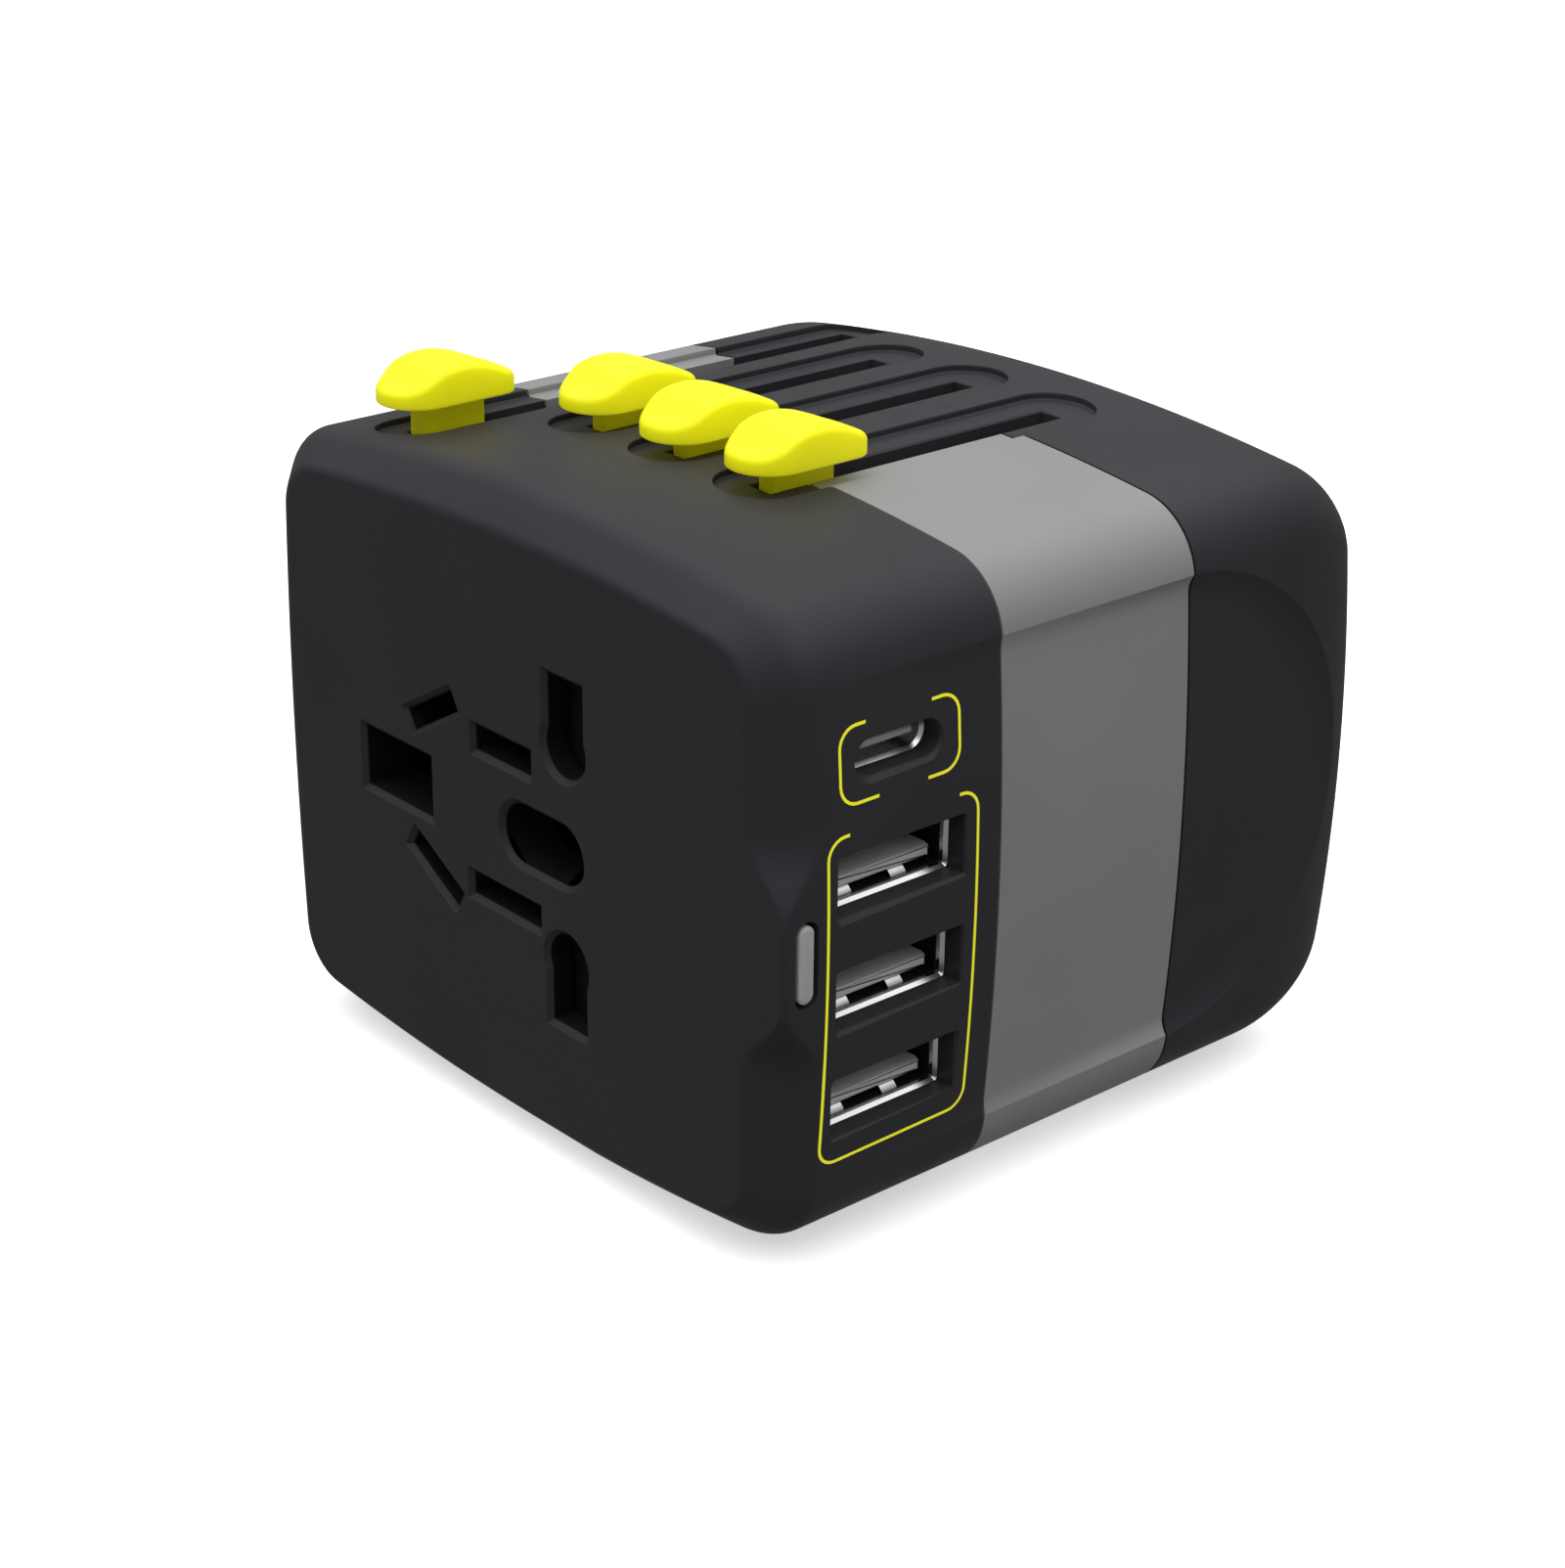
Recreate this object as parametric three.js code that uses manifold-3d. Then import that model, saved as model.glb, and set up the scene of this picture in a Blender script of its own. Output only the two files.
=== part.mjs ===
// Universal travel adapter: a three-part housing with a socket face at the front, USB outlets on the right,
// and four plug-pin sets that slide out of the back, each driven by a thumb slider on top.
//
// All lengths are millimetres. While modelling, x and z are measured from the middle of the body and y runs
// from the socket face (y = 0) towards the wall. The last lines move the origin to the middle of the underside.

import * as THREE from 'three';
import { mergeVertices } from 'three/addons/utils/BufferGeometryUtils.js';
import Module from 'manifold-3d';

const wasm = await Module();
wasm.setup();

// ---------- housing ----------
const DEPTH = 63.3; // socket face to wall face
const BASE = 27.0; // middle to the flat underside
const BODY = { width: 33.4, height: 27.2, topRadius: 195, sideRadius: 210, corner: 6.2 };
const FACE = { width: 29.4, height: 24.2, topRadius: 260, sideRadius: 400, corner: 4.5 };
const BEVEL = 3.1; // depth of the bevel round the socket face
const ROUNDING = { length: 10, width: 30.6, height: 21.2 }; // the rear end shrinks to this at the wall face
const WALL = 2.0;
const GAP = 0.3; // between two pieces that meet
const SEAM_FRONT = 21.5; // front shell to band
const SEAM_REAR = 42.2; // band to rear shell

// The bevel closes up beside the status light, where the side runs on to the socket face.
const BUMP = { z: 0.05, flat: 3.3, reach: 9.5, left: 0.1 };

// Finger recess on each side: a long flat scoop that ends in a half ellipse on the rear shell.
const RECESS = {
  halfHeight: 19.75, startY: 3.0, endY: 41.8, reach: 18.65, z: 0.35, slope: 0.0185, zeroAt: 6,
};

// ---------- slider tracks on top ----------
const SLOT_WIDTH = 2.3;
const STEM = { width: 2.0, length: 6.0 };
const TRACK = { halfWidth: 3.65, depth: 0.6 };
const LONG_SLOT = { start: 8.0, end: 54.7, stem: 7.7, travel: 38.4 };
const SHORT_SLOT = { start: 17.7, end: 49.0, stem: 18.3, travel: 24.3 };
const SLIDERS = {
  uk: { x: -20.75, ...LONG_SLOT },
  us: { x: -10.5, ...SHORT_SLOT },
  eu: { x: -0.25, ...SHORT_SLOT },
  au: { x: 10.0, ...SHORT_SLOT },
};
const CAP = { width: 6.7, length: 11.4, bottom: 28.2, ahead: 3.2 };
const CAP_REAR_ROUND = 1.8;
// Height of a cap's top above its underside, by distance from its front tip.
const CAP_PROFILE = [
  [0, 1.3], [1.0, 1.5], [2.2, 2.05], [3.4, 2.8], [4.9, 3.15],
  [6.6, 3.15], [8.4, 2.75], [10.0, 2.1], [11.4, 1.55],
];

// ---------- plug pins, standard sizes ----------
const CARRIAGE = { front: 18.5, back: 22.0 };
const UK = { lineZ: 8.8, earthZ: -13.4, spacing: 22.2, wide: 6.35, thick: 3.97, tall: 7.95 };
const UK_LENGTH = { line: 17.7, earth: 22.7 };
const EU = { z: 17.2, spacing: 19.0, diameter: 4.8, length: 19.0 };
const US = { z: -0.4, spacing: 12.7, thick: 1.5, tall: 6.35, length: 15.9 };
const AU = { z: -8.0, spacing: 13.7, thick: 1.6, tall: 6.35, length: 17.0, tilt: Math.PI / 6 };
const PIN_CLEARANCE = 0.4;

// ---------- socket ----------
const EARTH_HOLE = { x0: -19.35, x1: -9.25, halfHeight: 3.08 };
const LINE_HOLE = { x0: 5.28, x1: 10.53, outer: 15.0, roundZ: 9.0, roundRadius: 2.9 };
const BLADE_SLOTS = [
  { x: -0.05, z: 6.35, length: 8.1, width: 3.0 },
  { x: 0.05, z: -6.35, length: 9.7, width: 2.8 },
];
const SLANTED_SLOTS = [
  { x: -9.3, z: 6.85, length: 7.9, width: 2.7, angle: Math.PI / 6 },
  { x: -9.3, z: -6.85, length: 7.9, width: 2.7, angle: -Math.PI / 6 },
];
const ROUND_EARTH = { x: 4.95, z: 0.1, length: 10.9, width: 5.9 };
const SHUTTER = {
  front: 2.6, back: 4.4, x0: 4.9, x1: 12.0, inner: 5.7, outer: 15.6, barX0: 11.1, barX1: 13.1,
};
const SHUTTER_HOOK = { x0: 4.9, x1: 6.9, z0: 15.0, z1: 18.2 };
const SPRING = { z: 17.2, y: 3.5, from: -7.7, to: 4.6, radius: 0.65, wire: 0.15, turns: 8 };
const CORE = { front: 5.0, back: 15.0, x0: -21.5, x1: 14.2, halfHeight: 17.5 };
const CONTACT_PLATE = { front: 15.2, back: 15.9 };
const RETAINER = { front: 16.2, back: 17.9 };

// ---------- USB side ----------
const USB_MOUTH = BODY.width - WALL - 1.1; // clear of the crowned inside of the wall
const USB_A = { y: 11.6, width: 13.08, height: 5.42, centres: [4.86, -4.19, -13.24] };
const USB_A_TONGUE = { behind: 0.6, halfWidth: 5.55, low: -2.0, high: -0.7 };
const USB_C = { y: 11.25, z: 14.1, width: 8.9, height: 3.5 };
const USB_BOARD = { x0: 17.4, x1: 18.9 };
const SHELL_BACK = 19.3;
const SHELL_SHEET = 0.3;
const LIGHT = { y: 2.15, z: -0.05, width: 1.6, height: 6.3 };

// ---------- fasteners ----------
const SCREW = { x: 24.8, z: 18.9, shaft: 1.25, head: 2.4, headFront: 59.5, headBack: 61.5, tip: 34.0 };
const BOSS = { radius: 2.6, end: 38.0 };

// ---------- electronics behind the USB outlets and along the left wall ----------
const PART_START = 18.2; // inner ends of the parts on the power board
const POWER_BOARD = { x0: 26.0, x1: 27.5, y0: 24, y1: 56, halfHeight: 15 };
const CAPACITOR = { y: 30, z: 8, radius: 4 };
const FUSE = { x: -26, z: -10, radius: 3.15, y0: 27, y1: 52.4 };
const CLIP = { halfWidth: 3.9, depth: 5, length: 4, starts: { fuse_clip_front: 28, fuse_clip_rear: 47 } };
const BUS_BAR = { thick: 0.8, tall: 8, end: 57 };

// ---------- finishes ----------
function finish(color, roughness, metalness) {
  return new THREE.MeshStandardMaterial({ color, roughness, metalness });
}

const DARK = finish(0x3a3a3c, 0.55, 0);
const SILVER = finish(0xa4a4a4, 0.45, 0.1);
const YELLOW = finish(0xf5ee28, 0.45, 0);
const INNER = finish(0x232325, 0.6, 0);
const NICKEL = finish(0xc9c9c6, 0.25, 1);
const BRASS = finish(0xc49a4a, 0.35, 1);
const STEEL = finish(0x9a9a9c, 0.3, 1);
const BOARD = finish(0x1f6b3c, 0.5, 0);
const PALE = finish(0xe8e8e2, 0.4, 0);
const LAMP = finish(0x8c8c8c, 0.3, 0);

// ---------- solids ----------
function solid(geometry) {
  const plain = geometry.clone();
  plain.deleteAttribute('normal');
  plain.deleteAttribute('uv');
  const merged = mergeVertices(plain, 1e-4);
  return new wasm.Manifold(new wasm.Mesh({
    numProp: 3,
    vertProperties: new Float32Array(merged.attributes.position.array),
    triVerts: new Uint32Array(merged.index.array),
  }));
}

function join(pieces) {
  return pieces.reduce((whole, piece) => whole.add(piece));
}

function box(x0, x1, y0, y1, z0, z1) {
  const geometry = new THREE.BoxGeometry(x1 - x0, y1 - y0, z1 - z0);
  geometry.translate((x0 + x1) / 2, (y0 + y1) / 2, (z0 + z1) / 2);
  return solid(geometry);
}

// A shape drawn in x and z, pulled along y.
function alongY(shape, y0, y1, curveSegments = 6) {
  const geometry = new THREE.ExtrudeGeometry(shape, { depth: y1 - y0, bevelEnabled: false, curveSegments });
  geometry.rotateX(Math.PI / 2);
  geometry.translate(0, y1, 0);
  return solid(geometry);
}

// A shape drawn in y and z, pulled along x.
function alongX(shape, x0, x1, curveSegments = 6) {
  const geometry = new THREE.ExtrudeGeometry(shape, { depth: x1 - x0, bevelEnabled: false, curveSegments });
  geometry.translate(0, 0, x0);
  geometry.applyMatrix4(new THREE.Matrix4().set(0, 0, 1, 0, 1, 0, 0, 0, 0, 1, 0, 0, 0, 0, 0, 1));
  return solid(geometry);
}

// A shape drawn in x and y, pulled along z.
function alongZ(shape, z0, z1, curveSegments = 6) {
  const geometry = new THREE.ExtrudeGeometry(shape, { depth: z1 - z0, bevelEnabled: false, curveSegments });
  geometry.translate(0, 0, z0);
  return solid(geometry);
}

// ---------- flat outlines ----------
function polygon(points) {
  return new THREE.Shape(points.map(([a, b]) => new THREE.Vector2(a, b)));
}

function rectangle(a0, a1, b0, b1) {
  return polygon([[a0, b0], [a1, b0], [a1, b1], [a0, b1]]);
}

function circle(a, b, radius) {
  const shape = new THREE.Shape();
  shape.absarc(a, b, radius, 0, 2 * Math.PI, false);
  return shape;
}

// A slot with square ends, turned about its centre.
function slantedBar(a, b, length, width, angle) {
  const corner = (u, v) => [
    a + u * Math.cos(angle) - v * Math.sin(angle),
    b + u * Math.sin(angle) + v * Math.cos(angle),
  ];
  const u = length / 2;
  const v = width / 2;
  return polygon([corner(-u, -v), corner(u, -v), corner(u, v), corner(-u, v)]);
}

// A slot with round ends along the first or the second direction of its plane, whichever is longer.
function stadium(a, b, lengthA, lengthB) {
  const radius = Math.min(lengthA, lengthB) / 2;
  const shape = new THREE.Shape();
  if (lengthA >= lengthB) {
    const reach = lengthA / 2 - radius;
    shape.absarc(a + reach, b, radius, -Math.PI / 2, Math.PI / 2, false);
    shape.absarc(a - reach, b, radius, Math.PI / 2, 1.5 * Math.PI, false);
  } else {
    const reach = lengthB / 2 - radius;
    shape.absarc(a, b + reach, radius, 0, Math.PI, false);
    shape.absarc(a, b - reach, radius, Math.PI, 2 * Math.PI, false);
  }
  return shape;
}

// ---------- the rounded body section and its loft ----------
function arc(cx, cz, radius, from, to, steps) {
  return Array.from({ length: steps }, (_, i) => {
    const angle = from + ((to - from) * i) / steps;
    return [cx + radius * Math.cos(angle), cz + radius * Math.sin(angle)];
  });
}

// One quarter runs from the side's middle to the top's middle: a crowned side, a corner, a crowned top.
function quarter({ width, height, topRadius, sideRadius, corner }) {
  const sideCentre = width - sideRadius;
  const topCentre = height - topRadius;
  const sideReach = sideRadius - corner;
  const topReach = topRadius - corner;
  const apart = Math.hypot(sideCentre, topCentre);
  const along = (sideReach ** 2 - topReach ** 2 + apart ** 2) / (2 * apart);
  const aside = Math.sqrt(sideReach ** 2 - along ** 2);
  const ux = -sideCentre / apart;
  const uz = topCentre / apart;
  const cornerX = sideCentre + along * ux - aside * uz;
  const cornerZ = along * uz + aside * ux;
  const sideEnd = Math.atan2(cornerZ, cornerX - sideCentre);
  const topStart = Math.atan2(cornerZ - topCentre, cornerX);
  return [
    ...arc(sideCentre, 0, sideRadius, 0, sideEnd, 4),
    ...arc(cornerX, cornerZ, corner, sideEnd, topStart, 5),
    ...arc(0, topCentre, topRadius, topStart, Math.PI / 2, 4),
    [0, height],
  ];
}

function section(size, inset = 0) {
  const points = quarter({
    width: size.width - inset,
    height: size.height - inset,
    topRadius: size.topRadius - inset,
    sideRadius: size.sideRadius - inset,
    corner: size.corner - inset,
  });
  const last = points.length - 1;
  const left = points.slice(0, last).reverse().map(([x, z]) => [-x, z]);
  const bottomLeft = points.slice(1).map(([x, z]) => [-x, -z]);
  const bottomRight = points.slice(1, last).reverse().map(([x, z]) => [x, -z]);
  const floor = inset - BASE;
  return [...points, ...left, ...bottomLeft, ...bottomRight].map(([x, z]) => [x, Math.max(z, floor)]);
}

// Rings of [x, y, z] with the same number of points, joined side by side and closed at both ends.
function loft(rings) {
  const count = rings[0].length;
  const faces = [];
  for (let k = 0; k + 1 < rings.length; k += 1) {
    for (let i = 0; i < count; i += 1) {
      const a = k * count + i;
      const b = k * count + ((i + 1) % count);
      faces.push(a, a + count, b, b, a + count, b + count);
    }
  }
  const end = (rings.length - 1) * count;
  const flat = (ring) => ring.map(([x, , z]) => new THREE.Vector2(x, z));
  const cap = (ring) => THREE.ShapeUtils.triangulateShape(flat(ring), []);
  cap(rings[0]).forEach(([a, b, c]) => faces.push(a, b, c));
  cap(rings.at(-1)).forEach(([a, b, c]) => faces.push(end + a, end + c, end + b));
  const geometry = new THREE.BufferGeometry();
  geometry.setAttribute('position', new THREE.Float32BufferAttribute(rings.flat(2), 3));
  geometry.setIndex(faces);
  return solid(geometry);
}

function ringAt(points, y) {
  return points.map(([x, z]) => [x, y, z]);
}

// The section at a place along y: its full size, and smaller along a quarter ellipse in the rear rounding.
function roundedRing(points, y, at = y) {
  const s = THREE.MathUtils.clamp(1 - (DEPTH - at) / ROUNDING.length, 0, 1);
  const share = 1 - Math.sqrt(1 - s * s);
  const kx = 1 - share * (1 - ROUNDING.width / BODY.width);
  const kz = 1 - share * (1 - ROUNDING.height / BODY.height);
  return points.map(([x, z]) => [x * kx, y, z * kz]);
}

// Places along y that get a ring in the rear rounding, up to a distance before the wall face.
function roundingLevels(before = 0) {
  const last = Math.asin(1 - before / ROUNDING.length);
  const steps = 6;
  return Array.from({ length: steps + 1 }, (_, i) =>
    DEPTH - ROUNDING.length * (1 - Math.sin((last * i) / steps)));
}

// How much of the bevel is left at height z on the right side: all of it away from the status light.
function bevelShare(x, z) {
  if (x < BODY.width / 2) return 1;
  const reach = THREE.MathUtils.smoothstep(Math.abs(z - BUMP.z), BUMP.flat, BUMP.reach);
  return BUMP.left + (1 - BUMP.left) * reach;
}

function bodySolid() {
  const full = section(BODY);
  const face = section(FACE);
  const front = full.map(([x, z], i) => {
    const share = bevelShare(x, z);
    return [x + (face[i][0] - x) * share, 0, z + (face[i][1] - z) * share];
  });
  const bevelEnd = full.map(([x, z]) => [x, BEVEL * bevelShare(x, z), z]);
  return loft([front, bevelEnd, ...roundingLevels().map((y) => roundedRing(full, y))]);
}

function cavitySolid() {
  const full = section(BODY, WALL);
  const face = section(FACE, WALL);
  const setback = WALL + 0.2;
  const ahead = 1.2; // the inside rounds off this much before the outside does
  return loft([
    ringAt(face, setback),
    ringAt(full, setback + BEVEL),
    ...roundingLevels(setback - ahead).map((y) => roundedRing(full, y - ahead, y)),
  ]);
}

// ---------- cuts in the housing ----------
// What lies outside the sunk floor, limited to the scoop's outline.
function recessCut(side) {
  const { halfHeight, startY, endY, reach, z, slope, zeroAt } = RECESS;
  const outline = new THREE.Shape();
  outline.moveTo(startY, z - halfHeight);
  outline.lineTo(endY, z - halfHeight);
  outline.absellipse(endY, z, reach, halfHeight, -Math.PI / 2, Math.PI / 2, false);
  outline.lineTo(startY, z + halfHeight);
  const outside = BODY.width + 2;
  const column = side > 0 ? alongX(outline, 20, outside, 12) : alongX(outline, -outside, -20, 12);
  const depthAt = (y) => slope * (y - zeroAt);
  const levels = [startY - 1, ...roundingLevels()];
  const floor = loft(levels.map((y) => roundedRing(section(BODY, depthAt(y)), y)));
  return column.subtract(floor);
}

function trackCut({ x, start, end }) {
  const { halfWidth, depth } = TRACK;
  const outline = stadium(x, (start + end) / 2, 2 * halfWidth, end - start + 2 * halfWidth);
  const floor = loft([0, ...roundingLevels()].map((y) => roundedRing(section(BODY, depth), y)));
  return alongZ(outline, 15, 30).subtract(floor);
}

function slotCut({ x, stem, end }) {
  return box(x - SLOT_WIDTH / 2, x + SLOT_WIDTH / 2, stem - 0.5, end, 18, 30);
}

function lineHole(sign, grow = 0) {
  const { x0, x1, outer, roundZ, roundRadius } = LINE_HOLE;
  const middle = (x0 + x1) / 2;
  const z0 = sign > 0 ? roundZ : -outer - grow;
  const z1 = sign > 0 ? outer + grow : -roundZ;
  return [rectangle(x0 - grow, x1 + grow, z0, z1), circle(middle, sign * roundZ, roundRadius + grow)];
}

// Every hole of the socket as flat outlines, each grown by a margin.
function socketOutlines(grow = 0) {
  const { x0, x1, halfHeight } = EARTH_HOLE;
  const round = ROUND_EARTH;
  return [
    rectangle(x0 - grow, x1 + grow, -halfHeight - grow, halfHeight + grow),
    ...lineHole(1, grow),
    ...lineHole(-1, grow),
    stadium(round.x, round.z, round.length + 2 * grow, round.width + 2 * grow),
    ...[...BLADE_SLOTS, ...SLANTED_SLOTS].map(({ x, z, length, width, angle = 0 }) =>
      slantedBar(x, z, length + 2 * grow, width + 2 * grow, angle)),
  ];
}

function socketCut(y0, y1, grow = 0) {
  return join(socketOutlines(grow).map((outline) => alongY(outline, y0, y1)));
}

function usbCut() {
  const a = USB_A;
  const c = USB_C;
  const slots = a.centres.map((z) =>
    rectangle(a.y - a.width / 2, a.y + a.width / 2, z - a.height / 2, z + a.height / 2));
  slots.push(stadium(c.y, c.z, c.width, c.height));
  const light = stadium(LIGHT.y, LIGHT.z, LIGHT.width + GAP, LIGHT.height + GAP);
  return join([...slots.map((outline) => alongX(outline, 26, 36)), alongX(light, 20, 36)]);
}

function pinOutlines(grow) {
  const half = (value) => value / 2 + grow;
  const ukLine = (x) =>
    rectangle(x - half(UK.wide), x + half(UK.wide), UK.lineZ - half(UK.thick), UK.lineZ + half(UK.thick));
  const usBlade = (x) =>
    rectangle(x - half(US.thick), x + half(US.thick), US.z - half(US.tall), US.z + half(US.tall));
  const auBlade = (side) => slantedBar(
    (side * AU.spacing) / 2, AU.z, 2 * half(AU.tall), 2 * half(AU.thick), Math.PI / 2 - side * AU.tilt,
  );
  return {
    uk_live_pin: ukLine(-UK.spacing / 2),
    uk_neutral_pin: ukLine(UK.spacing / 2),
    uk_earth_pin: rectangle(
      -half(UK.thick), half(UK.thick), UK.earthZ - half(UK.tall), UK.earthZ + half(UK.tall),
    ),
    eu_pin_left: circle(-EU.spacing / 2, EU.z, half(EU.diameter)),
    eu_pin_right: circle(EU.spacing / 2, EU.z, half(EU.diameter)),
    us_blade_left: usBlade(-US.spacing / 2),
    us_blade_right: usBlade(US.spacing / 2),
    au_blade_left: auBlade(-1),
    au_blade_right: auBlade(1),
  };
}

function screwPlaces() {
  return [[1, 1], [-1, 1], [-1, -1], [1, -1]].map(([i, j]) => ({ x: i * SCREW.x, z: j * SCREW.z }));
}

// ---------- housing pieces ----------
function housingBlank() {
  const tracks = Object.values(SLIDERS).flatMap((slider) => [trackCut(slider), slotCut(slider)]);
  const cuts = [recessCut(1), recessCut(-1), ...tracks];
  return cuts.reduce((whole, cut) => whole.subtract(cut), bodySolid().subtract(cavitySolid()));
}

function slab(y0, y1) {
  return box(-40, 40, y0, y1, -40, 40);
}

function housingPieces() {
  const blank = housingBlank();
  const half = GAP / 2;
  const fingers = box(
    SLIDERS.uk.x + SLOT_WIDTH / 2, SLIDERS.au.x - SLOT_WIDTH / 2, SEAM_FRONT - 1, SEAM_REAR - half, 20, 40,
  );
  const bandGap = box(
    SLIDERS.uk.x - SLOT_WIDTH / 2, SLIDERS.au.x + SLOT_WIDTH / 2, SEAM_FRONT - 1, SEAM_REAR + 1, 20, 40,
  );
  const rods = (radius, y0, y1, steps) =>
    screwPlaces().map(({ x, z }) => alongY(circle(x, z, radius), y0, y1, steps));
  const bosses = rods(BOSS.radius, WALL, BOSS.end, 5);
  const bores = rods(SCREW.shaft + 0.15, SCREW.tip - 1, DEPTH, 4);
  const heads = rods(SCREW.head + 0.2, SCREW.headFront - 0.1, DEPTH + 1, 4);
  const seats = rods(SCREW.head + 0.5, SCREW.headFront - 1.2, DEPTH - WALL, 5);
  const front = blank.intersect(slab(-1, SEAM_FRONT - half).add(fingers));
  const rear = join([blank.intersect(slab(SEAM_REAR + half, DEPTH + 1)), ...seats]);
  const pinHoles = Object.values(pinOutlines(PIN_CLEARANCE))
    .map((outline) => alongY(outline, DEPTH - 5, DEPTH + 1));
  return {
    front_shell: join([front, ...bosses, springPost()])
      .subtract(join([...bores, socketCut(-1, 4), usbCut()])),
    side_band: blank.intersect(slab(SEAM_FRONT + half, SEAM_REAR - half)).subtract(bandGap),
    rear_shell: rear.subtract(join([...bores, ...heads, ...pinHoles])),
  };
}

// ---------- sliders, carriages and pins ----------
function capSolid({ x, stem }) {
  const start = stem - CAP.ahead;
  const profile = polygon([
    [start, CAP.bottom],
    [start + CAP.length, CAP.bottom],
    ...CAP_PROFILE.map(([s, h]) => [start + s, CAP.bottom + h]).reverse(),
  ]);
  const halfWidth = CAP.width / 2;
  const cornerX = halfWidth - CAP_REAR_ROUND;
  const cornerY = start + CAP.length - CAP_REAR_ROUND;
  const plan = new THREE.Shape();
  plan.absarc(x, start + halfWidth, halfWidth, Math.PI, 2 * Math.PI, false);
  plan.absarc(x + cornerX, cornerY, CAP_REAR_ROUND, 0, Math.PI / 2, false);
  plan.absarc(x - cornerX, cornerY, CAP_REAR_ROUND, Math.PI / 2, Math.PI, false);
  return alongX(profile, x - halfWidth - 1, x + halfWidth + 1).intersect(alongZ(plan, 27, 33, 6));
}

function stemSolid({ x, stem }, bottom) {
  const half = STEM.width / 2;
  return box(x - half, x + half, stem, stem + STEM.length, bottom, CAP.bottom + 0.5);
}

function bars(list, y0 = CARRIAGE.front, y1 = CARRIAGE.back) {
  return join(list.map(([x0, x1, z0, z1]) => box(x0, x1, y0, y1, z0, z1)));
}

// Each carriage is a flat frame. Seen from the back the four frames and their pins never cross, so every set
// can slide out past the others. The lanes are the bars that lead from a slider down to its pins.
const HEAD = 23.9; // top of a carriage under the flat part of the lid
const HEAD_EDGE = 22.6; // the same under the lid's lower left part
const UK_TOP = 21.4; // top of the tallest bar, which travels into the rounded rear end
const UK_ARM = { back: 20.0, low: 20.2 };

function carriages() {
  const { uk, us, eu, au } = SLIDERS;
  return {
    carriage_uk: bars([
      [uk.x - 1, uk.x + 1, -18.6, UK_TOP],
      [uk.x - 1, -6.9, 5.8, 11.8],
      [uk.x - 1, 16.8, -18.6, -15.6],
      [-3.2, 3.2, -18.6, -8.9],
      [14.8, 16.8, -18.6, 11.8],
      [6.9, 16.8, 5.8, 11.8],
    ]).add(box(uk.x - 1, uk.x + 1, uk.stem, UK_ARM.back, UK_ARM.low, HEAD_EDGE)),
    carriage_us: bars([
      [us.x - 1, us.x + 1, 22.0, HEAD],
      [-15.4, us.x + 1, 22.0, 23.6],
      [-15.4, -13.4, 12.6, 23.6],
      [-15.4, -3.8, 12.6, 14.4],
      [-5.8, -3.8, -1.9, 14.4],
      [-7.6, 7.6, -1.9, 1.1],
      [-7.6, -5.1, -3.6, 2.8],
      [5.1, 7.6, -3.6, 2.8],
    ]),
    carriage_eu: bars([
      [eu.x - 1, eu.x + 1, 19.5, HEAD],
      [-12.6, 12.6, 14.75, 19.9],
    ]),
    carriage_au: bars([
      [au.x - 1, au.x + 1, 22.0, HEAD],
      [au.x - 1, 15.4, 22.0, 23.6],
      [13.4, 15.4, 12.6, 23.6],
      [3.8, 15.4, 12.6, 14.4],
      [3.8, 5.8, 3.6, 14.4],
      [3.8, 11.6, 3.6, 5.2],
      [9.8, 11.6, -8.0, 5.2],
      [-9.4, 11.6, -8.0, -5.2],
      [-9.4, -4.2, -11.2, -5.2],
      [4.2, 9.4, -11.2, -5.2],
    ]),
  };
}

// A pin stands on its carriage. It reaches its full length beyond the wall face at the slider's far end.
function pins() {
  const outlines = pinOutlines(0);
  const lengths = {
    uk: UK_LENGTH.line, uk_earth_pin: UK_LENGTH.earth, eu: EU.length, us: US.length, au: AU.length,
  };
  const result = {};
  for (const [name, outline] of Object.entries(outlines)) {
    const set = name.slice(0, 2);
    const length = lengths[name] ?? lengths[set];
    const tip = DEPTH + length - SLIDERS[set].travel;
    const taper = 1.2;
    const points = outline.extractPoints(4).shape;
    const middle = points.reduce((sum, p) => sum.add(p), new THREE.Vector2()).divideScalar(points.length);
    const ring = (y, shrink) => points.map((p) => {
      const away = p.clone().sub(middle);
      away.setLength(Math.max(away.length() - shrink, 0.2));
      return [middle.x + away.x, y, middle.y + away.y];
    });
    result[name] = loft([ring(CARRIAGE.back + 0.1, 0), ring(tip - taper, 0), ring(tip, taper / 2)]);
  }
  return result;
}

// ---------- socket parts ----------
function shutterSolid() {
  const { front, back, x0, x1, inner, outer, barX0, barX1 } = SHUTTER;
  const hook = SHUTTER_HOOK;
  const plates = [
    rectangle(x0, x1, inner, outer),
    rectangle(x0, x1, -outer, -inner),
    rectangle(barX0, barX1, -outer, outer),
    rectangle(hook.x0, hook.x1, hook.z0, hook.z1),
  ];
  return join(plates.map((outline) => alongY(outline, front, back)));
}

// The fixed hook that the shutter spring pulls against.
function springPost() {
  return box(-9.6, -8.0, WALL, SHUTTER.back, 15.9, 18.4);
}

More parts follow.
